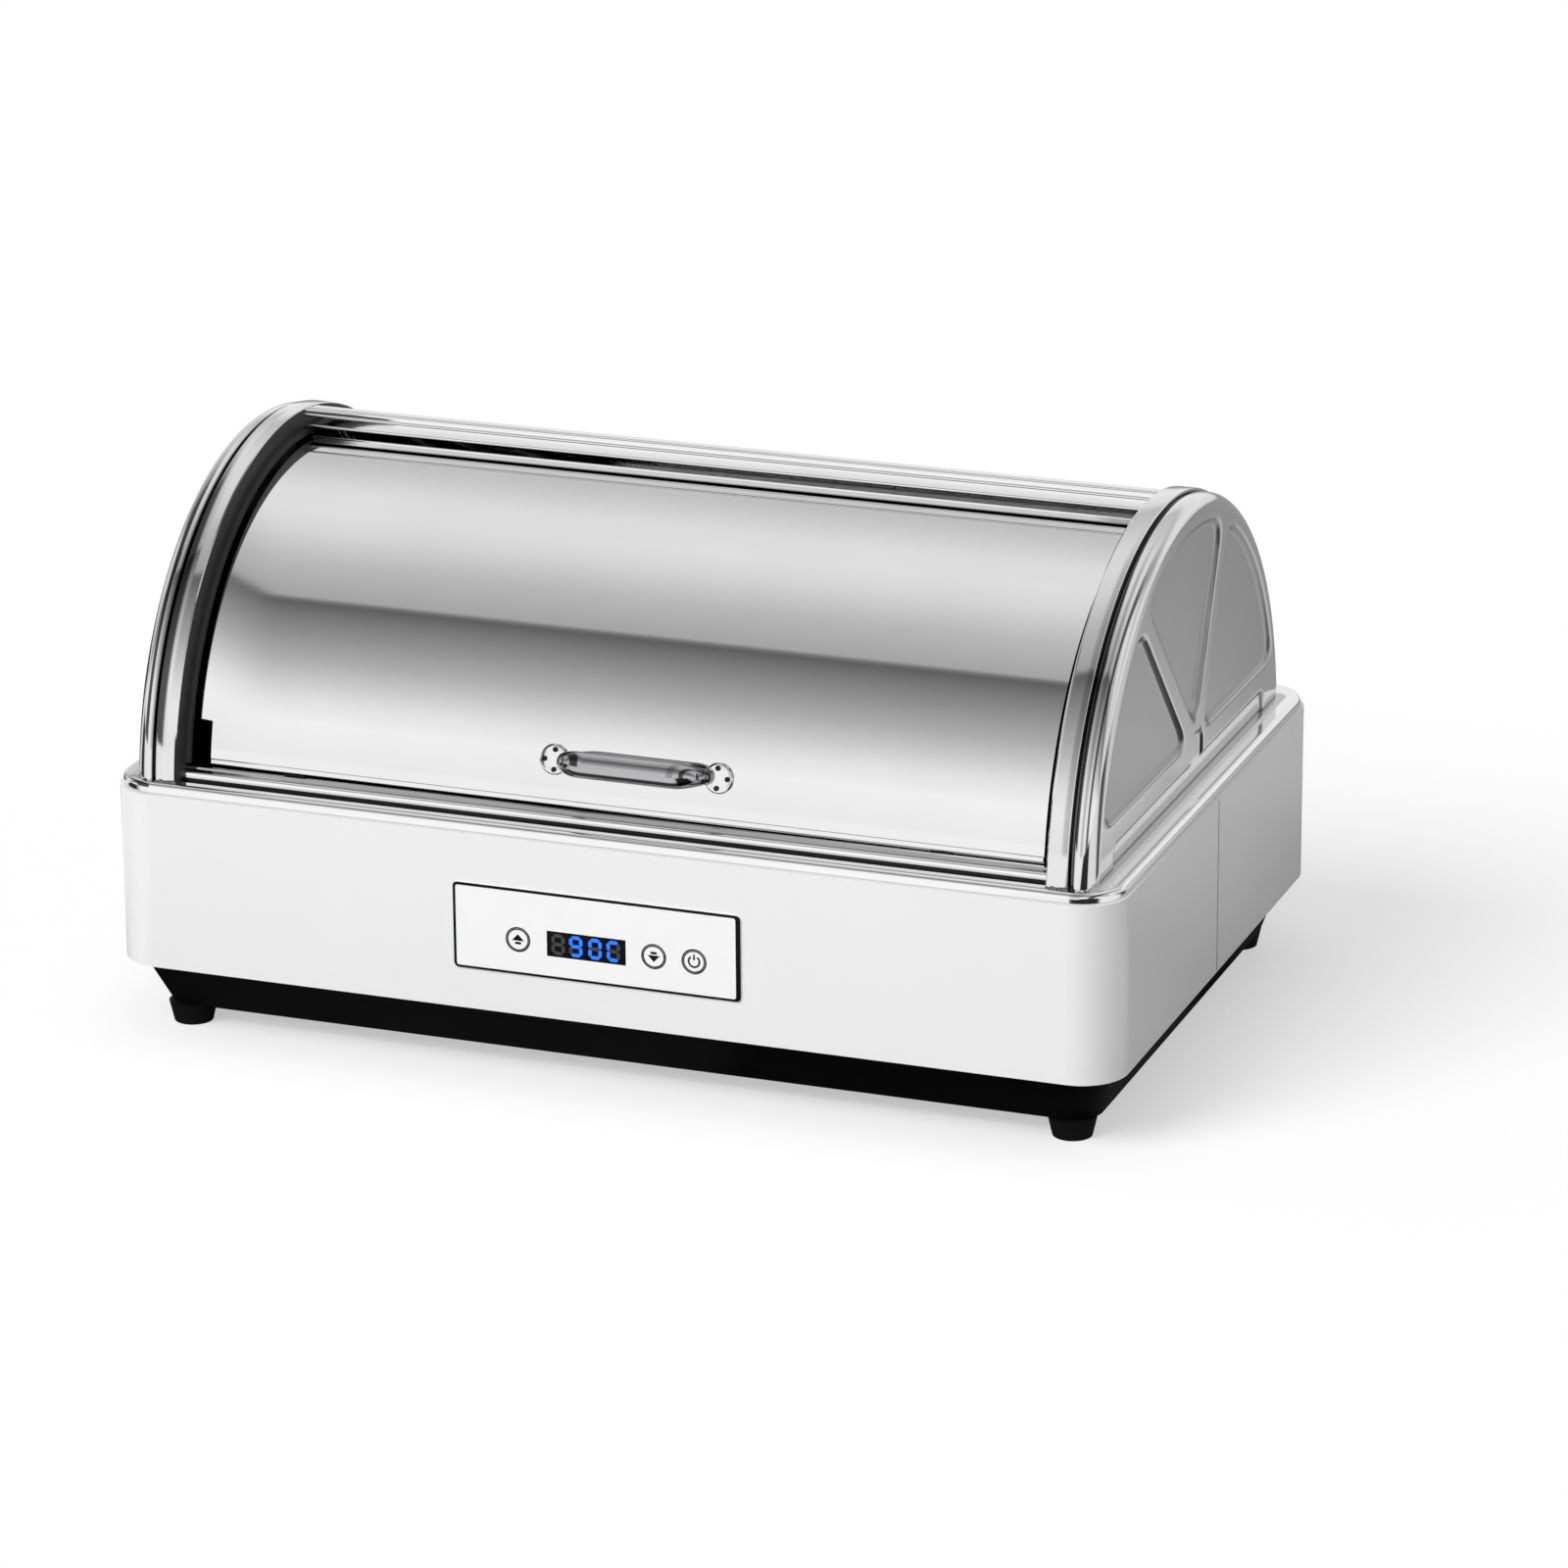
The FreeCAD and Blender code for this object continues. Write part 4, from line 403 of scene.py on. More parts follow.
def new_tree(name, **sizes):
    """An empty Geometry Nodes tree with named number inputs, and the outputs that carry them."""
    tree = bpy.data.node_groups.new(name, "GeometryNodeTree")
    for label, value in sizes.items():
        kind = "NodeSocketInt" if isinstance(value, int) else "NodeSocketFloat"
        tree.interface.new_socket(label, in_out="INPUT", socket_type=kind).default_value = value
    tree.interface.new_socket("Mesh", in_out="OUTPUT", socket_type="NodeSocketGeometry")
    return tree, add(tree, "NodeGroupInput", out=None)


def closed_tree(tree, geometry, material):
    """End a tree with real geometry and its material, because the export drops instances."""
    real = add(tree, "GeometryNodeRealizeInstances", {0: geometry})
    dressed = add(tree, "GeometryNodeSetMaterial", {"Geometry": real, "Material": material})
    add(tree, "NodeGroupOutput", {0: dressed}, None)
    return tree


print("mesh makers ready")

# %% [markdown]
# ## Sheet rolled about the lid's axis
# The lid's skin, its hem and its lip are strips of one cylinder about the lid's axis. One Geometry Nodes tree
# rolls a flat grid to that cylinder: rows become angles above the front, columns become places across. The
# grid is then extruded inwards to the sheet's thickness, and the grid itself closes the outside. A notch is the
# same grid with its left border pushed in below an angle.

# %% The rolled-sheet tree
AXIS_Y = -6.0
AXIS_Z = 132.0
RADIANS = math.radians(1.0)


def rolled_sheet_tree(material):
    tree, size = new_tree("rolled_sheet", Radius=0.152, Sheet=0.001, Low=7.0, High=99.0, Left=-0.235,
                          Right=0.235, Notch=0.0, NotchTop=0.0, Rows=240, Columns=60)
    grid = add(tree, "GeometryNodeMeshGrid", {"Size X": 1.0, "Size Y": 1.0, "Vertices X": size["Rows"],
                                              "Vertices Y": size["Columns"]})
    spot = add(tree, "ShaderNodeSeparateXYZ", {0: add(tree, "GeometryNodeInputPosition")}, None)
    climb = add(tree, "ShaderNodeMapRange", {"Value": spot["X"], "From Min": -0.5, "From Max": 0.5,
                                             "To Min": size["Low"], "To Max": size["High"]})
    notched = add(tree, "ShaderNodeMath", {0: climb, 1: size["NotchTop"]}, operation="LESS_THAN")
    border = add(tree, "ShaderNodeMath", {0: notched, 1: size["Notch"], 2: size["Left"]},
                 operation="MULTIPLY_ADD")
    across = add(tree, "ShaderNodeMapRange", {"Value": spot["Y"], "From Min": -0.5, "From Max": 0.5,
                                              "To Min": border, "To Max": size["Right"]})
    angle = add(tree, "ShaderNodeMath", {0: climb, 1: RADIANS}, operation="MULTIPLY")
    back = add(tree, "ShaderNodeMath", {0: angle}, operation="COSINE")
    up = add(tree, "ShaderNodeMath", {0: angle}, operation="SINE")
    down = add(tree, "ShaderNodeMath", {0: up, 1: -1.0}, operation="MULTIPLY")
    inwards = add(tree, "ShaderNodeCombineXYZ", {1: back, 2: down})
    reach = add(tree, "ShaderNodeVectorMath", {0: inwards, "Scale": size["Radius"]}, operation="SCALE")
    on_axis = add(tree, "ShaderNodeCombineXYZ", {0: across, 1: AXIS_Y * MM, 2: AXIS_Z * MM})
    place = add(tree, "ShaderNodeVectorMath", {0: on_axis, 1: reach}, operation="SUBTRACT")
    rolled = add(tree, "GeometryNodeSetPosition", {"Geometry": grid, "Position": place})
    inside = add(tree, "GeometryNodeExtrudeMesh", {"Mesh": rolled, "Offset": inwards,
                                                   "Offset Scale": size["Sheet"], "Individual": False})
    both = add(tree, "GeometryNodeJoinGeometry")
    for half in (inside, rolled):
        tree.links.new(half, both.node.inputs[0])
    welded = add(tree, "GeometryNodeMergeByDistance", {"Geometry": both, "Distance": DOUBLE})
    return closed_tree(tree, welded, material)


rolled_lid = rolled_sheet_tree(mirror_steel)
print("one tree with", len(rolled_lid.nodes), "nodes rolls every strip")

# %% [markdown]
# ## Lid skin, folded hem and lip
# The lid is a quarter turn of thin polished sheet. A bare edge would be sharp and weak, so the maker folds
# its lower edge into a hem and turns its upper edge up into a lip. They could be modelled in one section with
# the skin, but as strips of the same tree they stay round about the axis, and a small bevel rolls their edges.

# %% Lid strips
lid_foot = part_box("lid_shell")[0].z / MM
LID_SIDE = 235.0
LID_RADIUS = 152.0
HEM_RADIUS = 149.4
LID_START = math.degrees(math.asin((lid_foot - AXIS_Z) / HEM_RADIUS))
LID_END = 93.0
NOTCH_WIDE = 7.0
NOTCH_DEGREES = 8.8

skin = grown(rolled_lid, "lid_skin", Radius=LID_RADIUS * MM, Sheet=1.0 * MM, Low=LID_START, High=LID_END,
             Left=-LID_SIDE * MM, Right=LID_SIDE * MM, Notch=NOTCH_WIDE * MM,
             NotchTop=LID_START + NOTCH_DEGREES, Rows=400, Columns=24)
new_piece("lid_skin", tidied(skin), mirror_steel, "lid", ["lid_shell"])
hem = grown(rolled_lid, "lid_hem", Radius=152.5 * MM, Sheet=3.1 * MM, Low=LID_START, High=LID_START + 1.1,
            Left=(NOTCH_WIDE - LID_SIDE) * MM, Right=LID_SIDE * MM, Rows=7, Columns=12)
lip = grown(rolled_lid, "lid_lip", Radius=154 * MM, Sheet=2.6 * MM, Low=LID_END - 0.45, High=LID_END,
            Left=-LID_SIDE * MM, Right=LID_SIDE * MM, Rows=4, Columns=12)
for name, strip, roll_mm in (("lid_hem", hem, 0.45), ("lid_lip", lip, 0.4)):
    rolled_edge = with_modifier(name, tidied(strip), "BEVEL", width=roll_mm * MM, segments=3)
    new_piece(name, rolled_edge, mirror_steel, "lid")
print("the lid starts", round(LID_START, 2), "degrees above its axis")

# %% [markdown]
# ## The pressed face of an end cap
# Each cap is one sheet of stainless steel drawn over a die: a stepped band that follows the lid, a broad soft
# corner, and a flat face with three sunk panels between two ribs. Booleans would leave the hard edges that a
# drawn sheet never has, so a height rule sinks each panel along a smooth shoulder. A point's distance to a
# panel's edge is the smallest of the distances to its arch, its foot and its rib, blended so that the corners
# come out round. The strip along the foot and the stem up to the hub lie a little lower than the ribs.

# %% The height rule
CAP_FACE = 266.0
ARCH_EDGE = 157.0
FOOT_Z = 143.0
HUB = (5.0, 161.0)
FRONT_LEAN = math.radians(42.5)
REAR_LEAN = math.radians(23.0)
HALF_RIB = 5.2
PANEL_ARCH = 154.5
PANEL_FOOT = 167.5
PANEL_DEPTH = 2.4
PANEL_ROUND = 14
SHOULDER = 4.4
STRIP_TOP = 156.5
STRIP_SIDE = 131
STRIP_DEPTH = 1.6
STRIP_SHOULDER = 4.0
STEM_SIDE = 9.5
STEM_TOP = 171.5


def rise(value, width):
    """A smooth rise from 0 to 1 while value goes from 0 to width."""
    t = min(max(value / width, 0.0), 1.0)
    return t * t * (3 - 2 * t)


def blend_least(values, soft):
    """The smallest of some distances, with a round corner of about this size where two are near."""
    least = values[0]
    for value in values[1:]:
        share = max(soft - abs(least - value), 0.0) / soft
        least = min(least, value) - share * share * soft / 4
    return least


def panel_depths(y, z):
    """How far a point lies inside each of the three panels."""
    across, up = y - HUB[0], z - HUB[1]
    arch = PANEL_ARCH - math.hypot(y - AXIS_Y, z - AXIS_Z)
    foot = z - PANEL_FOOT
    before_front = -across * math.cos(FRONT_LEAN) - up * math.sin(FRONT_LEAN)
    behind_rear = across * math.cos(REAR_LEAN) - up * math.sin(REAR_LEAN)
    return (blend_least([arch, foot, before_front - HALF_RIB], PANEL_ROUND),
            blend_least([arch, -before_front - HALF_RIB, -behind_rear - HALF_RIB], PANEL_ROUND),
            blend_least([arch, foot, behind_rear - HALF_RIB], PANEL_ROUND))


def face_rule(y, z):
    """The pressed face's place along X, how far it is sunk, and how much painted shade its folds take, both from
    0 to 1.
    """
    sunk = sum(rise(inside, SHOULDER) for inside in panel_depths(y, z))
    strip = blend_least([STRIP_TOP - z, STRIP_SIDE - abs(y - AXIS_Y)], 6)
    stem = blend_least([STEM_SIDE - abs(y - HUB[0] - 1), STEM_TOP - z], 8)
    lowered = rise(max(strip, stem) + 1.6, STRIP_SHOULDER)
    beside_flange = rise(FOOT_Z + 3.0 - z, 1.5)
    # Painted shade on the panels' shoulders, the lowered strip's edge and the foot beside the flange.
    crease_shade = max(3 * sunk * (1 - sunk), 4 * lowered * (1 - lowered), beside_flange)
    return CAP_FACE - PANEL_DEPTH * sunk - STRIP_DEPTH * lowered, sunk, crease_shade


print("face at", round(face_rule(-6, 230)[0], 2), "mm in the upper panel")

# %% [markdown]
# ## Finish of the caps
# One pressing shows two finishes, polished bands and ribs and panels left satin because a wheel can't reach into
# them, and its folds are darkened with painted shade where they face each other. Faces of different materials
# would cut a jagged border along the grid, so the mesh carries two numbers a point, how sunk it is and how much
# painted shade it takes, and the material blends by them.

# %% Cap finish
def cap_finish(name):
    """Bright bands and ribs, satin panels and folds darkened with painted shade, told apart by the mesh's own
    attributes.
    """
    material, tree, place = new_material(name)
    sunk = add(tree, "ShaderNodeAttribute", out="Fac", attribute_name="sunk")
    crease_shade = add(tree, "ShaderNodeAttribute", out="Fac", attribute_name="crease_shade")
    cloud = add(tree, "ShaderNodeTexNoise", {"Vector": place, "Scale": spots_of(60), "Detail": 3.0})
    grain = add(tree, "ShaderNodeTexNoise", {"Vector": place, "Scale": spots_of(0.8), "Detail": 2.0})
    bright = add(tree, "ShaderNodeMix", {0: cloud, 6: linear("#D0D0D0"), 7: linear("#DADADA")}, 2,
                 data_type="RGBA")
    satin = add(tree, "ShaderNodeMix", {0: cloud, 6: linear("#BCBCBC"), 7: linear("#C6C6C6")}, 2,
                data_type="RGBA")
    field = add(tree, "ShaderNodeMix", {0: sunk, 6: bright, 7: satin}, 2, data_type="RGBA")
    # Painted shade: the folds blend towards dark grey.
    shade = add(tree, "ShaderNodeMath", {0: crease_shade, 1: 0.9}, operation="MULTIPLY")
    tint = add(tree, "ShaderNodeMix", {0: shade, 6: field, 7: linear("#3A3A3A")}, 2, data_type="RGBA")
    matt = add(tree, "ShaderNodeMapRange", {"Value": sunk, "To Min": 0.08, "To Max": 0.34})
    bump = add(tree, "ShaderNodeBump", {"Height": grain, "Distance": 0.0005 * MM, "Strength": 1.0})
    shader = add(tree, "ShaderNodeBsdfPrincipled", {"Base Color": tint, "Metallic": 1.0, "Roughness": matt,
                                                    "Normal": bump})
    add(tree, "ShaderNodeOutputMaterial", {"Surface": shader}, None)
    return material


pressed_steel = cap_finish("pressed_cap_stainless")
print("cap finish made")

# %% [markdown]
# ## The cap's section and its sheet
# From the lid outwards the section of the arch is a rubber edge, a stepped band with one groove that is darkened
# with painted shade, and the soft corner into the face. The cap is a fan of such sections about the middle of
# its foot, carried on to that middle by the height rule. The fan is crowded towards both ends of the arch, where
# its rays cross the foot strip at a flat angle and an even fan would draw the strip's edge as a chain of teeth.

# %% Section of the arch
soft_corner = [(258 + 8 * math.sin(t), ARCH_EDGE + 9.5 * math.cos(t))
               for t in (math.radians(90 * k / 14) for k in range(15))]
cap_section = [(241, 154), (241, 160), (241, 166.4), (241.3, 167.3), (242, 167.9), (243, 168), (247, 168),
               (251.8, 168), (252.5, 167.8), (252.9, 167.2), (253.05, 166.2), (253.1, 164.9), (253.5, 164.4),
               (254.4, 164.4), (254.9, 164.8), (255.0, 165.5), (255.4, 166.2), (256.2, 166.5)] + soft_corner
RUBBER_EDGE = 241.35
GROOVE = (253.0, 255.5)
print("the arch's section has", len(cap_section), "points")

# %% Points of the fan
FAN_STEPS = 336
FACE_STEPS = 104
FAN_CROWDING = 0.4


def cap_points(side):
    """The fan's points, ray by ray, each with how sunk it is and how much painted shade it takes."""
    drop = FOOT_Z - AXIS_Z
    for k in range(FAN_STEPS + 1):
        share = k / FAN_STEPS
        turn = math.pi * share - FAN_CROWDING * math.sin(2 * math.pi * share) / 2
        for out, radius in cap_section:
            reach = math.sqrt(radius ** 2 - (drop * math.cos(turn)) ** 2) - drop * math.sin(turn)
            # The groove takes full painted shade.
            crease_shade = 1.0 if GROOVE[0] < out < GROOVE[1] else 0.0
            yield side * out, AXIS_Y - reach * math.cos(turn), FOOT_Z + reach * math.sin(turn), 0.0, crease_shade
        for ring in range(1, FACE_STEPS):
            run = reach * (1 - ring / FACE_STEPS)
            y, z = AXIS_Y - run * math.cos(turn), FOOT_Z + run * math.sin(turn)
            out, sunk, crease_shade = face_rule(y, z)
            yield side * out, y, z, sunk, crease_shade
    yield side * face_rule(AXIS_Y, FOOT_Z)[0], AXIS_Y, FOOT_Z, 0.0, 0.0


print("a cap takes", (FAN_STEPS + 1) * (len(cap_section) + FACE_STEPS - 1) + 1, "points")

# %% Caps
def cap_mesh(side):
    rows = list(cap_points(side))
    rings = len(cap_section) + FACE_STEPS - 1
    faces = []
    for k in range(FAN_STEPS):
        for ring in range(rings - 1):
            a, b = k * rings + ring, (k + 1) * rings + ring
            faces.append((a, b, b + 1, a + 1)[::side])
        faces.append((k * rings + rings - 1, (k + 1) * rings + rings - 1, len(rows) - 1)[::side])
    mesh = mesh_of("cap", [row[:3] for row in rows], faces)
    for column, name in ((3, "sunk"), (4, "crease_shade")):
        values = mesh.attributes.new(name, "FLOAT", "POINT")
        values.data.foreach_set("value", [row[column] for row in rows])
    mesh.materials.append(pressed_steel)
    mesh.materials.append(seal_rubber)
    for polygon in mesh.polygons:
        if abs(polygon.center.x) < RUBBER_EDGE * MM:
            polygon.material_index = 1
    return mesh


for name, side in PAIR:
    sheet = with_modifier("cap", tidied(cap_mesh(side)), "SOLIDIFY", thickness=1.0 * MM, offset=-1)
    new_piece("end_cap_pressing_" + name, sheet, pressed_steel, "base", ["end_cap_" + name])

# %% [markdown]
# ## Bars of one section
# The sill, the seams, the bumpers and the caps' flanges are all bars of one section. Their corners are folded
# or moulded and never sharp, so one helper rounds an outline's corners and another pulls the outline along a
# line. A bevel would treat every corner alike, while here a corner may bring its own radius.

# %% Outlines and bars
def rounded(corners, radius, steps=5):
    """A closed outline with its corners rounded; a corner may bring its own radius as a third number."""
    outline = []
    for k, corner in enumerate(corners):
        here = Vector(corner[:2])
        before = Vector(corners[k - 1][:2]) - here
        after = Vector(corners[(k + 1) % len(corners)][:2]) - here
        size = corner[2] if len(corner) > 2 else radius
        if size == 0:
            outline.append(tuple(here))
            continue
        half = before.angle(after) / 2
        run = min(size / math.tan(half), before.length * 0.49, after.length * 0.49)
        first, last = here + before.normalized() * run, here + after.normalized() * run
        for n in range(steps + 1):
            t = n / steps
            outline.append(tuple(first * (1 - t) ** 2 + here * 2 * t * (1 - t) + last * t * t))
    return outline


def pulled(name, outline, low, high, along="X"):
    """A solid bar with this outline in (Y, Z), or in (X, Z) when it is pulled along Y."""
    rings = [[(end, a, b) if along == "X" else (a, end, b) for a, b in outline] for end in (low, high)]
    return skin_over(name, rings)


print("a corner of 2 mm takes", len(rounded([(0, 0), (0, 9), (9, 0)], 2.0)) // 3, "points")

# %% [markdown]
# ## The sill
# A folded strip closes the deck under the lid's edge. Its upper edge is rolled round, with a shallow dip behind
# it that gives the thin dark line under the lid. Its foot is undercut where the bend lifts off the deck, and
# this narrow strip, which faces only its own shadow, takes the dark steel as painted shade.

# %% Sill
sill_low, sill_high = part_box("front_sill")
front, back, top = sill_low.y / MM, sill_high.y / MM, sill_high.z / MM
SILL_SIDE = 241
sill_outline = rounded([(front + 1.6, FOOT_Z, 0), (front + 1.6, FOOT_Z + 1.1, 0), (front, FOOT_Z + 1.3, 0.3),
                        (front, top - 0.3, 2.6), (front + 4.6, top + 0.1, 0.8), (front + 5.3, top - 0.7, 0.5),
                        (front + 6.2, top + 0.8, 0.6), (back, top + 0.8, 0.6), (back, FOOT_Z, 0)], 0.5)
sill = pulled("sill_bar", sill_outline, -SILL_SIDE, SILL_SIDE)
sill.materials.append(rim_steel)
sill.materials.append(rivet_and_shade_steel)
# Faces in the undercut take the dark steel: painted shade.
for polygon in sill.polygons:
    if polygon.center.y < (front + 1.7) * MM and polygon.center.z < (FOOT_Z + 1.15) * MM:
        polygon.material_index = 1
new_piece("sill_bar", sill, rim_steel, "base", ["front_sill"])

# %% [markdown]
# ## Seams of the base
# The front and the rear wrap meet in the middle of each side. A real butt joint is a gap of a few tenths of a
# millimetre that the eye sees as a grey hairline of shadow. A gap in the CAD would be finer than a pixel, so a
# thin grey line of painted shadow lies over it.

# %% Seam lines
for name, side in PAIR:
    edge = rounded([(-0.5, 41), (-0.5, 136), (0.5, 136), (0.5, 41)], 0.3)
    new_piece("seam_shadow_line_" + name, pulled("seam_shadow_line", edge, side * 279.9, side * 280.04), joint_shadow_paint, "base")

# %% [markdown]
# ## Bumpers
# Two small rubber pads stand on the sill near its ends and stop the closing lid before metal meets metal. They
# are made here with the rounded upper edges of a moulded pad, close under the hem, where only a low view from
# the front finds them.

# %% Lid bumpers
pad_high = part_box("lid_bumpers")[1]
PAD_WIDE = 12
PAD_FRONT = -157.0
PAD_BACK = -153.6
pad_outline = rounded([(PAD_FRONT, top - 0.4, 0), (PAD_FRONT, pad_high.z / MM, 0.5),
                       (PAD_BACK, pad_high.z / MM, 0.5), (PAD_BACK, top - 0.4, 0)], 0.5)
for name, side in PAIR:
    ends = sorted((side * pad_high.x / MM, side * (pad_high.x / MM - PAD_WIDE)))
    new_piece("bumper_" + name, pulled("bumper", pad_outline, *ends), foot_rubber, "base",
              ["lid_bumpers"] if side < 0 else ())

# %% [markdown]
# ## Flanges of the caps
# A cap ends in a narrow flange that lies on the rim's deck and carries the spot welds. It slopes a little
# outwards, so it catches a fine bright line along the foot of the cap.

# %% Cap flanges
for name, side in PAIR:
    flange = rounded([(side * 263.8, 143, 0), (side * 263.8, 144.5, 0.3), (side * 268.6, 144.3, 0.8),
                      (side * 270.4, 143, 0)], 0.3)
    new_piece("cap_flange_" + name, pulled("cap_flange", flange, -168.5, 156.5, "Y"), satin_steel, "base")

# %% [markdown]
# ## Welds
# Where the caps' bands meet the deck the maker ran a short weld: a row of overlapping ripples, each one a
# drop that froze on the last. Sculpting four beads would make four different ones, so one tree puts flat drops
# along a line, with a fixed seed for a little drift and growth.

# %% Weld ripples
def weld_tree(material):
    tree, size = new_tree("weld", X=0.247, Y=-0.1735, Z=0.1432, Length=0.011, Bead=0.0016, Ripples=9)
    left = add(tree, "ShaderNodeMath", {0: size["Length"], 1: -0.5, 2: size["X"]}, operation="MULTIPLY_ADD")
    right = add(tree, "ShaderNodeMath", {0: size["Length"], 1: 0.5, 2: size["X"]}, operation="MULTIPLY_ADD")
    start = add(tree, "ShaderNodeCombineXYZ", {0: left, 1: size["Y"], 2: size["Z"]})
    end = add(tree, "ShaderNodeCombineXYZ", {0: right, 1: size["Y"], 2: size["Z"]})
    line = add(tree, "GeometryNodeMeshLine", {"Count": size["Ripples"], "Start Location": start, "Offset": end},
               mode="END_POINTS")
    drift = add(tree, "FunctionNodeRandomValue", {"Min": (-0.0003,) * 3, "Max": (0.0003,) * 3, "Seed": 4},
                data_type="FLOAT_VECTOR")
    spread = add(tree, "GeometryNodeSetPosition", {"Geometry": line, "Offset": drift})
    drop = add(tree, "GeometryNodeMeshUVSphere", {"Segments": 14, "Rings": 8, "Radius": size["Bead"]})
    flat = add(tree, "GeometryNodeTransform", {"Geometry": drop, "Scale": (0.75, 1.0, 0.7)})
    growth = add(tree, "FunctionNodeRandomValue", {2: 0.8, 3: 1.15, "Seed": 9}, 1, data_type="FLOAT")
    row = add(tree, "GeometryNodeInstanceOnPoints", {"Points": spread, "Instance": flat, "Scale": growth})
    return closed_tree(tree, row, material)


weld = weld_tree(weld_steel)
for name, side in PAIR:
    for end, y in (("front", -173.4), ("rear", 161.4)):
        bead = grown(weld, "weld_" + name, X=side * 247.2 * MM, Y=y * MM, Length=10.5 * MM)
        new_piece("weld_" + end + "_" + name, tidied(bead), weld_steel, "base")

# %% [markdown]
# ## The grip
# The grip is a flat oval bar bent to a bow and polished. A bevelled curve could follow the same path, but its
# oval would have to be kept from turning in the bends. Here each ring of the skin is placed one by one: its long
# side always points up the lid, so the bow stays level, and the ends slim down towards the round plates.

# %% Grip bow
HANDLE_X = 12.0
HANDLE_CLIMB = 15.8
LEG_X = 39.0
GRIP_REACH = 16.5
BEND = 16.5
RING_POINTS = 48
climb = math.radians(HANDLE_CLIMB)
up_lid = Vector((0, math.sin(climb), math.cos(climb)))
off_lid = Vector((0, -math.cos(climb), math.sin(climb)))
lid_spot = Vector((HANDLE_X, AXIS_Y, AXIS_Z))


def bow_path():
    """Points across and off the lid, with the direction of the bow at each."""
    path = [(-LEG_X, out, 0.0) for out in (0.0, 1.5, 3.5)]
    for k in range(25):
        t = math.radians(90 * k / 24)
        path.append((-LEG_X + BEND * (1 - math.cos(t)), GRIP_REACH - BEND * (1 - math.sin(t)), t))
    path += [(-LEG_X + BEND + k * (2 * LEG_X - 2 * BEND) / 10, GRIP_REACH, math.pi / 2) for k in range(1, 6)]
    return path + [(-across, out, math.pi - t) for across, out, t in path[-2::-1]]


def ring_about(middle, one_way, other_way):
    """A ring of points about a middle, with its two half widths as vectors."""
    turns = [2 * math.pi * k / RING_POINTS for k in range(RING_POINTS)]
    return [middle + one_way * math.cos(t) + other_way * math.sin(t) for t in turns]


bow_rings = []
for across, out, t in bow_path():
    middle = lid_spot + Vector((across, 0, 0)) + off_lid * (LID_RADIUS + 0.6 + out)
    beside = (Vector((1, 0, 0)) * math.sin(t) + off_lid * math.cos(t)).cross(up_lid)
    slim = 1 - 0.4 * (max(abs(across) - 26, 0) / 13) ** 2
    bow_rings.append(ring_about(middle, up_lid * 6.9 * slim, beside * 5.6 * slim))
new_piece("grip_bow", skin_over("bow", bow_rings), chrome, "lid", ["handle_bar"])

# %% [markdown]
# ## Plates under the grip
# A stamped plate spreads the grip's pull over the thin lid. Its rim is rolled over towards the lid, which gives
# it a dark outline against the mirror. Rings of falling radius give that edge in the same way as the bow.

# %% Grip plates
PLATE_X = 45.5
PLATE_EDGE = [(8.2, -0.5), (8.2, 0.2), (8.0, 0.8), (7.5, 1.25), (6.8, 1.4), (3.5, 1.45)]
for name, side in PAIR:
    middle = lid_spot + Vector((side * PLATE_X, 0, 0)) + off_lid * LID_RADIUS
    plate = skin_over("plate", [ring_about(middle + off_lid * out, Vector((radius, 0, 0)), up_lid * radius)
                                for radius, out in PLATE_EDGE])
    new_piece("grip_plate_" + name, plate, mirror_steel, "lid", ["handle_rosette_" + name])

# %% [markdown]
# ## Rivets of the handle
# The grip's round plates are held by three rivets each, at ninety-five degrees to each other around the plate
# with the gap towards the grip. Six single domes would do, but one tree places them all: it numbers the
# points, works out each one's turn around its plate, lays it on the lid's curve and points it outwards.

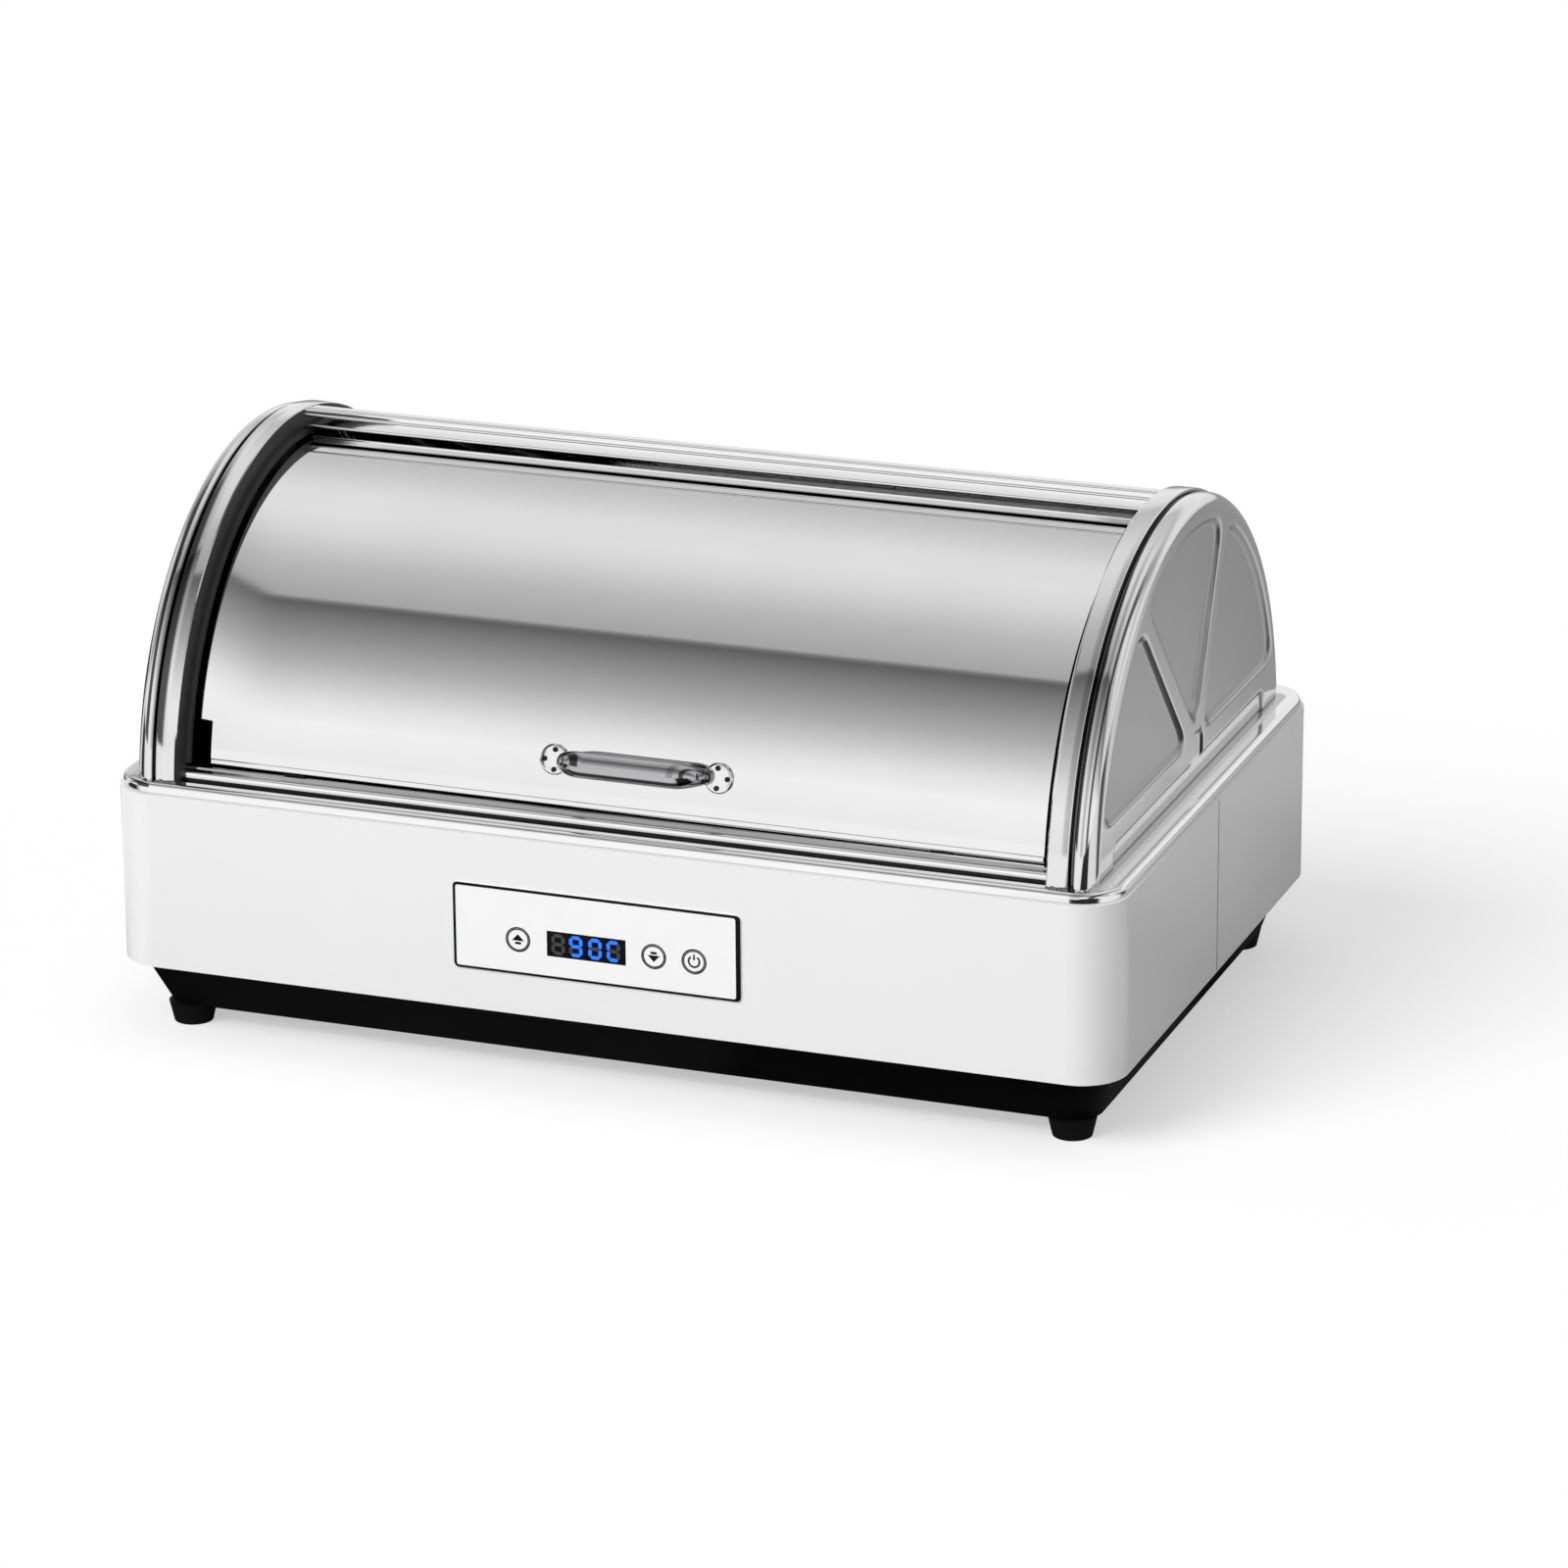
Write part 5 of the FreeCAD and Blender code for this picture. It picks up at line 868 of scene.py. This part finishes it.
# %% Rivet heads
def rivet_tree(material):
    tree, size = new_tree("rivets", Middle=HANDLE_X * MM, Plate=PLATE_X * MM, Circle=0.0052, Head=0.0014,
                          Climb=HANDLE_CLIMB, Reach=0.1534)
    number = add(tree, "GeometryNodeInputIndex")
    second = add(tree, "ShaderNodeMath", {0: number, 1: 2.5}, operation="GREATER_THAN")
    side = add(tree, "ShaderNodeMath", {0: second, 1: 2.0, 2: -1.0}, operation="MULTIPLY_ADD")
    place_in_three = add(tree, "ShaderNodeMath", {0: number, 1: 3.0}, operation="MODULO")
    turn = add(tree, "ShaderNodeMath", {0: place_in_three, 1: math.radians(95), 2: -math.radians(95)},
               operation="MULTIPLY_ADD")
    away = add(tree, "ShaderNodeMath", {0: turn}, operation="COSINE")
    higher = add(tree, "ShaderNodeMath", {0: turn}, operation="SINE")
    out = add(tree, "ShaderNodeMath", {0: size["Circle"], 1: away, 2: size["Plate"]}, operation="MULTIPLY_ADD")
    across = add(tree, "ShaderNodeMath", {0: side, 1: out, 2: size["Middle"]}, operation="MULTIPLY_ADD")
    run = add(tree, "ShaderNodeMath", {0: size["Circle"], 1: higher}, operation="MULTIPLY")
    more = add(tree, "ShaderNodeMath", {0: run, 1: size["Reach"]}, operation="DIVIDE")
    angle = add(tree, "ShaderNodeMath", {0: size["Climb"], 1: RADIANS, 2: more}, operation="MULTIPLY_ADD")
    back = add(tree, "ShaderNodeMath", {0: angle}, operation="COSINE")
    forward = add(tree, "ShaderNodeMath", {0: back, 1: -1.0}, operation="MULTIPLY")
    up = add(tree, "ShaderNodeMath", {0: angle}, operation="SINE")
    outwards = add(tree, "ShaderNodeCombineXYZ", {1: forward, 2: up})
    reach = add(tree, "ShaderNodeVectorMath", {0: outwards, "Scale": size["Reach"]}, operation="SCALE")
    on_axis = add(tree, "ShaderNodeCombineXYZ", {0: across, 1: AXIS_Y * MM, 2: AXIS_Z * MM})
    spot = add(tree, "ShaderNodeVectorMath", {0: on_axis, 1: reach}, operation="ADD")
    laid = add(tree, "GeometryNodeSetPosition", {"Geometry": add(tree, "GeometryNodeMeshLine", {"Count": 6}),
                                                 "Position": spot})
    facing = add(tree, "FunctionNodeAlignRotationToVector", {"Vector": outwards}, axis="Z")
    head = add(tree, "GeometryNodeMeshUVSphere", {"Segments": 20, "Rings": 12, "Radius": size["Head"]})
    flat = add(tree, "GeometryNodeTransform", {"Geometry": head, "Scale": (1.0, 1.0, 0.5)})
    row = add(tree, "GeometryNodeInstanceOnPoints", {"Points": laid, "Instance": flat, "Rotation": facing})
    return closed_tree(tree, row, material)


heads = grown(rivet_tree(rivet_and_shade_steel), "rivet_heads")
new_piece("rivet_heads", tidied(heads), rivet_and_shade_steel, "lid")

# %% [markdown]
# ## Print as thin solids
# The overlay and the keys are screen-printed. Ink is a few hundredths of a millimetre thick, so each mark is a
# thin solid that stands just proud of the film. It could be a pattern in the material, but as geometry it
# stays crisp from near by. A mark is a filled outline, or the strip between two outlines with equally many
# points, and an open strip such as a broken ring is closed at its two ends.

# %% Rings and arcs
PANEL_FRONT = -180.0
INK = 0.06


def arc_points(centre, radius, count=48, start=0.0, sweep=360.0):
    """Points of a ring, or of a part of one, clockwise from its top."""
    turns = [math.radians(start + sweep * k / (count if sweep == 360.0 else count - 1)) for k in range(count)]
    return [(centre[0] + radius * math.sin(t), centre[1] + radius * math.cos(t)) for t in turns]


print("a ring of", len(arc_points((0, 0), 6.9)), "points")

# %% Solid marks
def add_mark(points, faces, outer, inner=None, whole=True):
    """Add a filled outline, or the strip between two outlines, which may be open at its ends."""
    start, count = len(points), len(outer)
    rows = [outer] if inner is None else [outer, inner]
    for depth in (PANEL_FRONT - INK, PANEL_FRONT + INK):
        for row in rows:
            points.extend((x, depth, z) for x, z in row)
    shift = count * len(rows)
    if inner is None:
        faces.append(tuple(range(start, start + count)))
        faces.append(tuple(range(start + shift, start + shift + count))[::-1])
    for k in range(count if whole else count - 1):
        a, b = start + k, start + (k + 1) % count
        faces.append((a, b, b + shift, a + shift))
        if inner is not None:
            faces.append((a + count, b + count, b + count + shift, a + count + shift))
            faces.append((a, b, b + count, a + count))
            faces.append((a + shift, b + shift, b + count + shift, a + count + shift))
    if not whole:
        for k in (start, start + count - 1):
            faces.append((k, k + count, k + count + shift, k + shift))


def print_marks(name, body, material, shapes):
    points, faces = [], []
    for shape in shapes:
        add_mark(points, faces, *shape)
    new_piece(name, tidied(mesh_of(name, points, faces)), material, body)


print("marks stand", INK, "mm proud")

# %% [markdown]
# ## The panel's outline
# A black line frames the keypad, heavier at its right end than at its left, as it is on the real film. The
# strip between an outer and an inner outline gives the four widths at once.

# %% Panel outline
panel_low, panel_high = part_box("control_panel")
left, right, low, high = (panel_low.x / MM, panel_high.x / MM, panel_low.z / MM, panel_high.z / MM)
outer = rounded([(left, low), (left, high), (right, high), (right, low)], 3.0, 8)
inner = rounded([(left + 1.5, low + 1.3), (left + 1.5, high - 1.6), (right - 2.7, high - 1.6),
                 (right - 2.7, low + 1.3)], 1.6, 8)
print_marks("panel_outline", "base", overlay_ink, [(outer, inner)])

# %% [markdown]
# ## Rings and symbols of the keys
# Each key has a ring about its edge and a plain symbol: up, down, or a broken ring for power. The ring is
# printed half on the film and half on the key, so that no white gap shows between the two. The inner half and
# the symbol ride with the key, so a pressed key sinks out of its ring.

# %% Key prints
rings = []
for key, body in (("key_up", "up_key"), ("key_down", "down_key"), ("key_power", "power_key")):
    key_low, key_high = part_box(key)
    x, z = (key_low.x + key_high.x) / 2 / MM, (key_low.z + key_high.z) / 2 / MM
    rings.append((arc_points((x, z), 6.9), arc_points((x, z), 6.25)))
    if key == "key_power":
        shapes = [(arc_points((x, z), 3.5, 30, 35, 290), arc_points((x, z), 2.5, 30, 35, 290), False),
                  ([(x - 0.5, z + 0.8), (x - 0.5, z + 3.9), (x + 0.5, z + 3.9), (x + 0.5, z + 0.8)],)]
    else:
        way = 1 if key == "key_up" else -1
        shapes = [([(x - 3.4, z - 0.6 * way), (x, z + 3.0 * way), (x + 3.4, z - 0.6 * way)],),
                  ([(x - 1.7, z - 2.6 * way), (x - 1.7, z - 1.3 * way), (x + 1.7, z - 1.3 * way),
                    (x + 1.7, z - 2.6 * way)],)]
    shapes.append((arc_points((x, z), 6.0), arc_points((x, z), 5.4)))
    print_marks(key + "_mark", body, overlay_ink, shapes)
print_marks("key_rings", "base", overlay_ink, rings)

# %% [markdown]
# ## Read-out
# Four seven-segment digits sit behind the smoked window. The first is dark, the others show a plain
# temperature. Every digit is the same seven bars with pointed ends, so a digit is a set of letters for the
# bars that are lit, and the unlit bars are kept as a second piece in their own grey.

# %% Seven bars a digit
DIGIT_WIDE = 5.6
DIGIT_HIGH = 9.6
BAR_HALF = 0.95
BAR_GAP = 0.18
READING = ((-22.2, ""), (-12.3, "abcdfg"), (-1.6, "abcdef"), (8.6, "adef"))
half_wide, half_high = DIGIT_WIDE / 2, DIGIT_HIGH / 2
BARS = {"a": (0, half_high, 0), "g": (0, 0, 0), "d": (0, -half_high, 0), "f": (-half_wide, half_high / 2, 1),
        "b": (half_wide, half_high / 2, 1), "e": (-half_wide, -half_high / 2, 1),
        "c": (half_wide, -half_high / 2, 1)}


def bar_outline(centre_x, centre_z, bar):
    x, z, upright = BARS[bar]
    run = (half_high / 2 if upright else half_wide) - BAR_GAP
    shape = [(-run, 0), (-run + BAR_HALF, BAR_HALF), (run - BAR_HALF, BAR_HALF), (run, 0),
             (run - BAR_HALF, -BAR_HALF), (-run + BAR_HALF, -BAR_HALF)]
    return [(centre_x + x + (b if upright else a), centre_z + z + (a if upright else b)) for a, b in shape]


window_low, window_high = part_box("display_window")
window_z = (window_low.z + window_high.z) / 2 / MM
lit, unlit = [], []
for digit_x, shown in READING:
    for bar in BARS:
        (lit if bar in shown else unlit).append((bar_outline(digit_x, window_z, bar),))
print_marks("lit_bars", "base", lit_segment, lit)
print_marks("unlit_bars", "base", dark_segment, unlit)

# %% [markdown]
# ## What polished steel sees
# The photograph is a catalogue cut-out: white all round, with a faint shadow. But polished steel shows
# whatever it faces, and in an all-white room it would look like paper. A product photographer puts pale cards
# and black flags around it, out of the picture. Three tables do the same for mirror rays alone: one for the
# floor, by the direction in which a place lies, one for the left and right, and one for the front and the top.
# They belong to the room, so they stay put when the camera moves.

# %% Cards and flags
FLOOR_CARDS = (
    # degrees round the dish from its front, to the right, and how bright the floor's mirror image is there
    (-180, 0.38), (-125, 0.40), (-112, 0.06), (-100, 0.06), (-96, 0.95), (-84, 0.95), (-80, 0.04), (-62, 0.04),
    (-54, 1.05), (-36, 1.20), (8, 1.20), (17, 1.05), (21, 0.03), (56, 0.03), (62, 1.05), (94, 1.00), (102, 0.10),
    (110, 0.10), (119, 0.84), (132, 0.76), (144, 0.42), (150, 0.36), (180, 0.38),
)
SIDE_CARDS = (
    # how far a mirror ray goes to the left or right, and how bright the cards are there
    (-1.0, 0.95), (-0.88, 0.95), (-0.83, 0.10), (-0.53, 0.10), (-0.47, 0.97), (-0.20, 0.97), (-0.13, 0.60),
    (0.12, 0.60), (0.20, 0.97), (0.46, 0.97), (0.52, 0.14), (0.68, 0.14), (0.76, 1.0), (1.0, 1.0),
)
FRONT_AND_TOP = (
    # degrees above the front horizon, going over the top, and how bright the room is there
    (-180, 0.75), (-90, 0.70), (-2, 1.18), (14, 1.25), (23, 1.08), (31, 0.83), (39, 0.60), (50, 0.39),
    (58, 0.26), (64.4, 0.14), (65.4, 0.53), (81, 0.68), (97, 0.95), (108, 1.05), (121, 1.02), (138, 0.80),
    (148, 0.70), (156, 1.00), (170, 1.05), (180, 0.90),
)


def with_stops(ramp, table):
    """The same ramp with the places and levels of a table as its grey stops."""
    stops = ramp.node.color_ramp.elements
    first, last = table[0][0], table[-1][0]
    for number, (place, level) in enumerate(table):
        spot = (place - first) / (last - first)
        stop = stops[number] if number < 2 else stops.new(spot)
        stop.position = spot
        stop.color = (level, level, level, 1.0)
    return ramp


print(len(FLOOR_CARDS) + len(SIDE_CARDS) + len(FRONT_AND_TOP), "stops of light and dark")

# %% [markdown]
# ## Floor
# To the camera the floor is nearly white but still takes the dish's shadow, which is why only half of it is
# light of its own. To the light that it bounces it is mid grey, so the right side of the base stays in shade.
# To mirror rays it shows its cards, and dark ground close to the feet, where the dish shades the real floor.

# %% Floor plane
floor_mesh = bpy.data.meshes.new("floor")
shape = bmesh.new()
bmesh.ops.create_grid(shape, x_segments=2, y_segments=2, size=12.0)
shape.to_mesh(floor_mesh)
shape.free()
floor = bpy.data.objects.new("floor", floor_mesh)
bpy.context.scene.collection.objects.link(floor)
print("floor", len(floor_mesh.polygons), "faces")

# %% What mirror rays see on the floor
NEAR = 0.34
CLEAR = 0.42
material, tree, place = new_material("studio_floor")
spot = add(tree, "ShaderNodeSeparateXYZ", {0: place}, None)
ahead = add(tree, "ShaderNodeMath", {0: spot["Y"], 1: -1.0}, operation="MULTIPLY")
turn = add(tree, "ShaderNodeMath", {0: spot["X"], 1: ahead}, operation="ARCTAN2")
share = add(tree, "ShaderNodeMapRange", {"Value": turn, "From Min": -math.pi, "From Max": math.pi})
aside = add(tree, "ShaderNodeMath", {0: spot["X"]}, operation="ABSOLUTE")
along = add(tree, "ShaderNodeMath", {0: spot["Y"]}, operation="ABSOLUTE")
far = add(tree, "ShaderNodeMath", {0: aside, 1: along}, operation="MAXIMUM")
open_ground = add(tree, "ShaderNodeMapRange", {"Value": far, "From Min": NEAR, "From Max": CLEAR,
                                               "To Min": 0.06, "To Max": 1.0})
ring = with_stops(add(tree, "ShaderNodeValToRGB", {0: share}), FLOOR_CARDS)
cards = add(tree, "ShaderNodeMix", {0: open_ground, 6: linear("#101010"), 7: ring}, 2, data_type="RGBA")
print("cards on the floor from", NEAR, "to", CLEAR, "m outwards")

# %% Floor material
ray = add(tree, "ShaderNodeLightPath", out=None)
tint = add(tree, "ShaderNodeMix", {0: ray["Is Camera Ray"], 6: linear("#BCBCBC"), 7: linear("#FFFFFF")}, 2,
           data_type="RGBA")
shaded = add(tree, "ShaderNodeBsdfDiffuse", {"Color": tint})
lift = add(tree, "ShaderNodeEmission", {"Color": linear("#FFFFFF"), "Strength": 1.0})
half = add(tree, "ShaderNodeMath", {0: ray["Is Camera Ray"], 1: 0.5}, operation="MULTIPLY")
seen = add(tree, "ShaderNodeMixShader", {0: half, 1: shaded, 2: lift})
mirrored = add(tree, "ShaderNodeEmission", {"Color": cards, "Strength": 1.0})
whole = add(tree, "ShaderNodeMixShader", {0: ray["Is Glossy Ray"], 1: seen, 2: mirrored})
add(tree, "ShaderNodeOutputMaterial", {"Surface": whole}, None)
floor_mesh.materials.append(material)
print("floor material", len(tree.nodes), "nodes")

# %% [markdown]
# ## World
# The world is white to the camera and an even half white to everything matt, which gives each colour about the
# value it is written with. For mirror rays it is a long soft box over the dish: pale in front, darker up to a
# crisp edge at about sixty-five degrees, then pale again over the top. The cards to the left and right are laid
# over it for rays that don't go to the rear, and near the lid's left end the box sags, as a thin sheet's
# reflection does beside its stiff edge.

# %% What mirror rays see in the room
world = bpy.data.worlds.new("studio")
world.use_nodes = True
tree = world.node_tree
tree.nodes.clear()
way = add(tree, "ShaderNodeSeparateXYZ", {0: add(tree, "ShaderNodeTexCoord", out="Generated")}, None)
ahead = add(tree, "ShaderNodeMath", {0: way["Y"], 1: -1.0}, operation="MULTIPLY")
climb = add(tree, "ShaderNodeMath", {0: way["Z"], 1: ahead}, operation="ARCTAN2")
sag = add(tree, "ShaderNodeMapRange", {"Value": way["X"], "From Min": -0.3995, "From Max": -0.4075,
                                       "To Min": 0.0, "To Max": 0.2})
sagged = add(tree, "ShaderNodeMath", {0: climb, 1: sag}, operation="SUBTRACT")
turn = add(tree, "ShaderNodeMapRange", {"Value": sagged, "From Min": -math.pi, "From Max": math.pi})
across = add(tree, "ShaderNodeMapRange", {"Value": way["X"], "From Min": -1.0, "From Max": 1.0})
not_rear = add(tree, "ShaderNodeMapRange", {"Value": way["Y"], "From Min": 0.3, "From Max": 0.75,
                                            "To Min": 1.0, "To Max": 0.0})
beside = with_stops(add(tree, "ShaderNodeValToRGB", {0: across}), SIDE_CARDS)
sides = add(tree, "ShaderNodeMix", {0: not_rear, 6: linear("#FFFFFF"), 7: beside}, 2, data_type="RGBA")
above = with_stops(add(tree, "ShaderNodeValToRGB", {0: turn}), FRONT_AND_TOP)
level = add(tree, "ShaderNodeMix", {0: 1.0, 6: above, 7: sides}, 2, data_type="RGBA", blend_type="MULTIPLY")
print("soft box", len(tree.nodes), "nodes")

# %% World
ray = add(tree, "ShaderNodeLightPath", out=None)
even = add(tree, "ShaderNodeBackground", {"Color": linear("#FFFFFF"), "Strength": 0.5})
white = add(tree, "ShaderNodeBackground", {"Color": linear("#FFFFFF"), "Strength": 1.0})
room = add(tree, "ShaderNodeBackground", {"Color": level, "Strength": 1.0})
mirrored = add(tree, "ShaderNodeMixShader", {0: ray["Is Glossy Ray"], 1: even, 2: room})
seen = add(tree, "ShaderNodeMixShader", {0: ray["Is Camera Ray"], 1: mirrored, 2: white})
add(tree, "ShaderNodeOutputWorld", {"Surface": seen}, None)
bpy.context.scene.world = world
print("world", len(tree.nodes), "nodes")

# %% [markdown]
# ## Lamp
# The shadow falls to the right and rear, soft at its edge, so the light comes from the front left and is
# wide. A sun with a broad disc gives such a shadow at one even strength everywhere. Mirror rays don't see it,
# because they already see the soft box that stands for it.

# %% Lamp
LAMP_TURN = math.radians(-30)
LAMP_CLIMB = math.radians(42)
LAMP_WIDTH = math.radians(35)
lamp_data = bpy.data.lights.new("soft_lamp", "SUN")
lamp_data.energy = 2.35
lamp_data.angle = LAMP_WIDTH
lamp = bpy.data.objects.new("soft_lamp", lamp_data)
lamp.rotation_euler = (math.pi / 2 - LAMP_CLIMB, 0, LAMP_TURN)
lamp.visible_glossy = False
bpy.context.scene.collection.objects.link(lamp)
bpy.context.scene.view_settings.view_transform = "Standard"
print("lamp at strength", round(lamp_data.energy, 2))

# %% [markdown]
# ## Camera
# A least-squares fit to the corners of the base, the lid and the caps gave the place and lens below. The
# camera stands to the right of the front and looks a little down, with a long lens, so that the far side is
# almost as tall as the near one.

# %% Camera
CAMERA_PLACE = (1.278277, -3.334616, 1.367922)
CAMERA_YAW = math.radians(20.426)
CAMERA_PITCH = math.radians(19.364)
CAMERA_ROLL = math.radians(-0.4)
SENSOR_MM = 36.0
PHOTO_PIXELS = 1600
FOCAL_PIXELS = 7167.5
camera_data = bpy.data.cameras.new("camera")
camera_data.sensor_width = SENSOR_MM
camera_data.lens = FOCAL_PIXELS / PHOTO_PIXELS * SENSOR_MM
camera = bpy.data.objects.new("camera", camera_data)
aim = Euler((math.pi / 2 - CAMERA_PITCH, 0, CAMERA_YAW)).to_matrix() @ Matrix.Rotation(CAMERA_ROLL, 3, "Z")
camera.matrix_world = Matrix.Translation(CAMERA_PLACE) @ aim.to_4x4()
bpy.context.scene.collection.objects.link(camera)
bpy.context.scene.camera = camera
print("lens", round(camera_data.lens, 1), "mm")
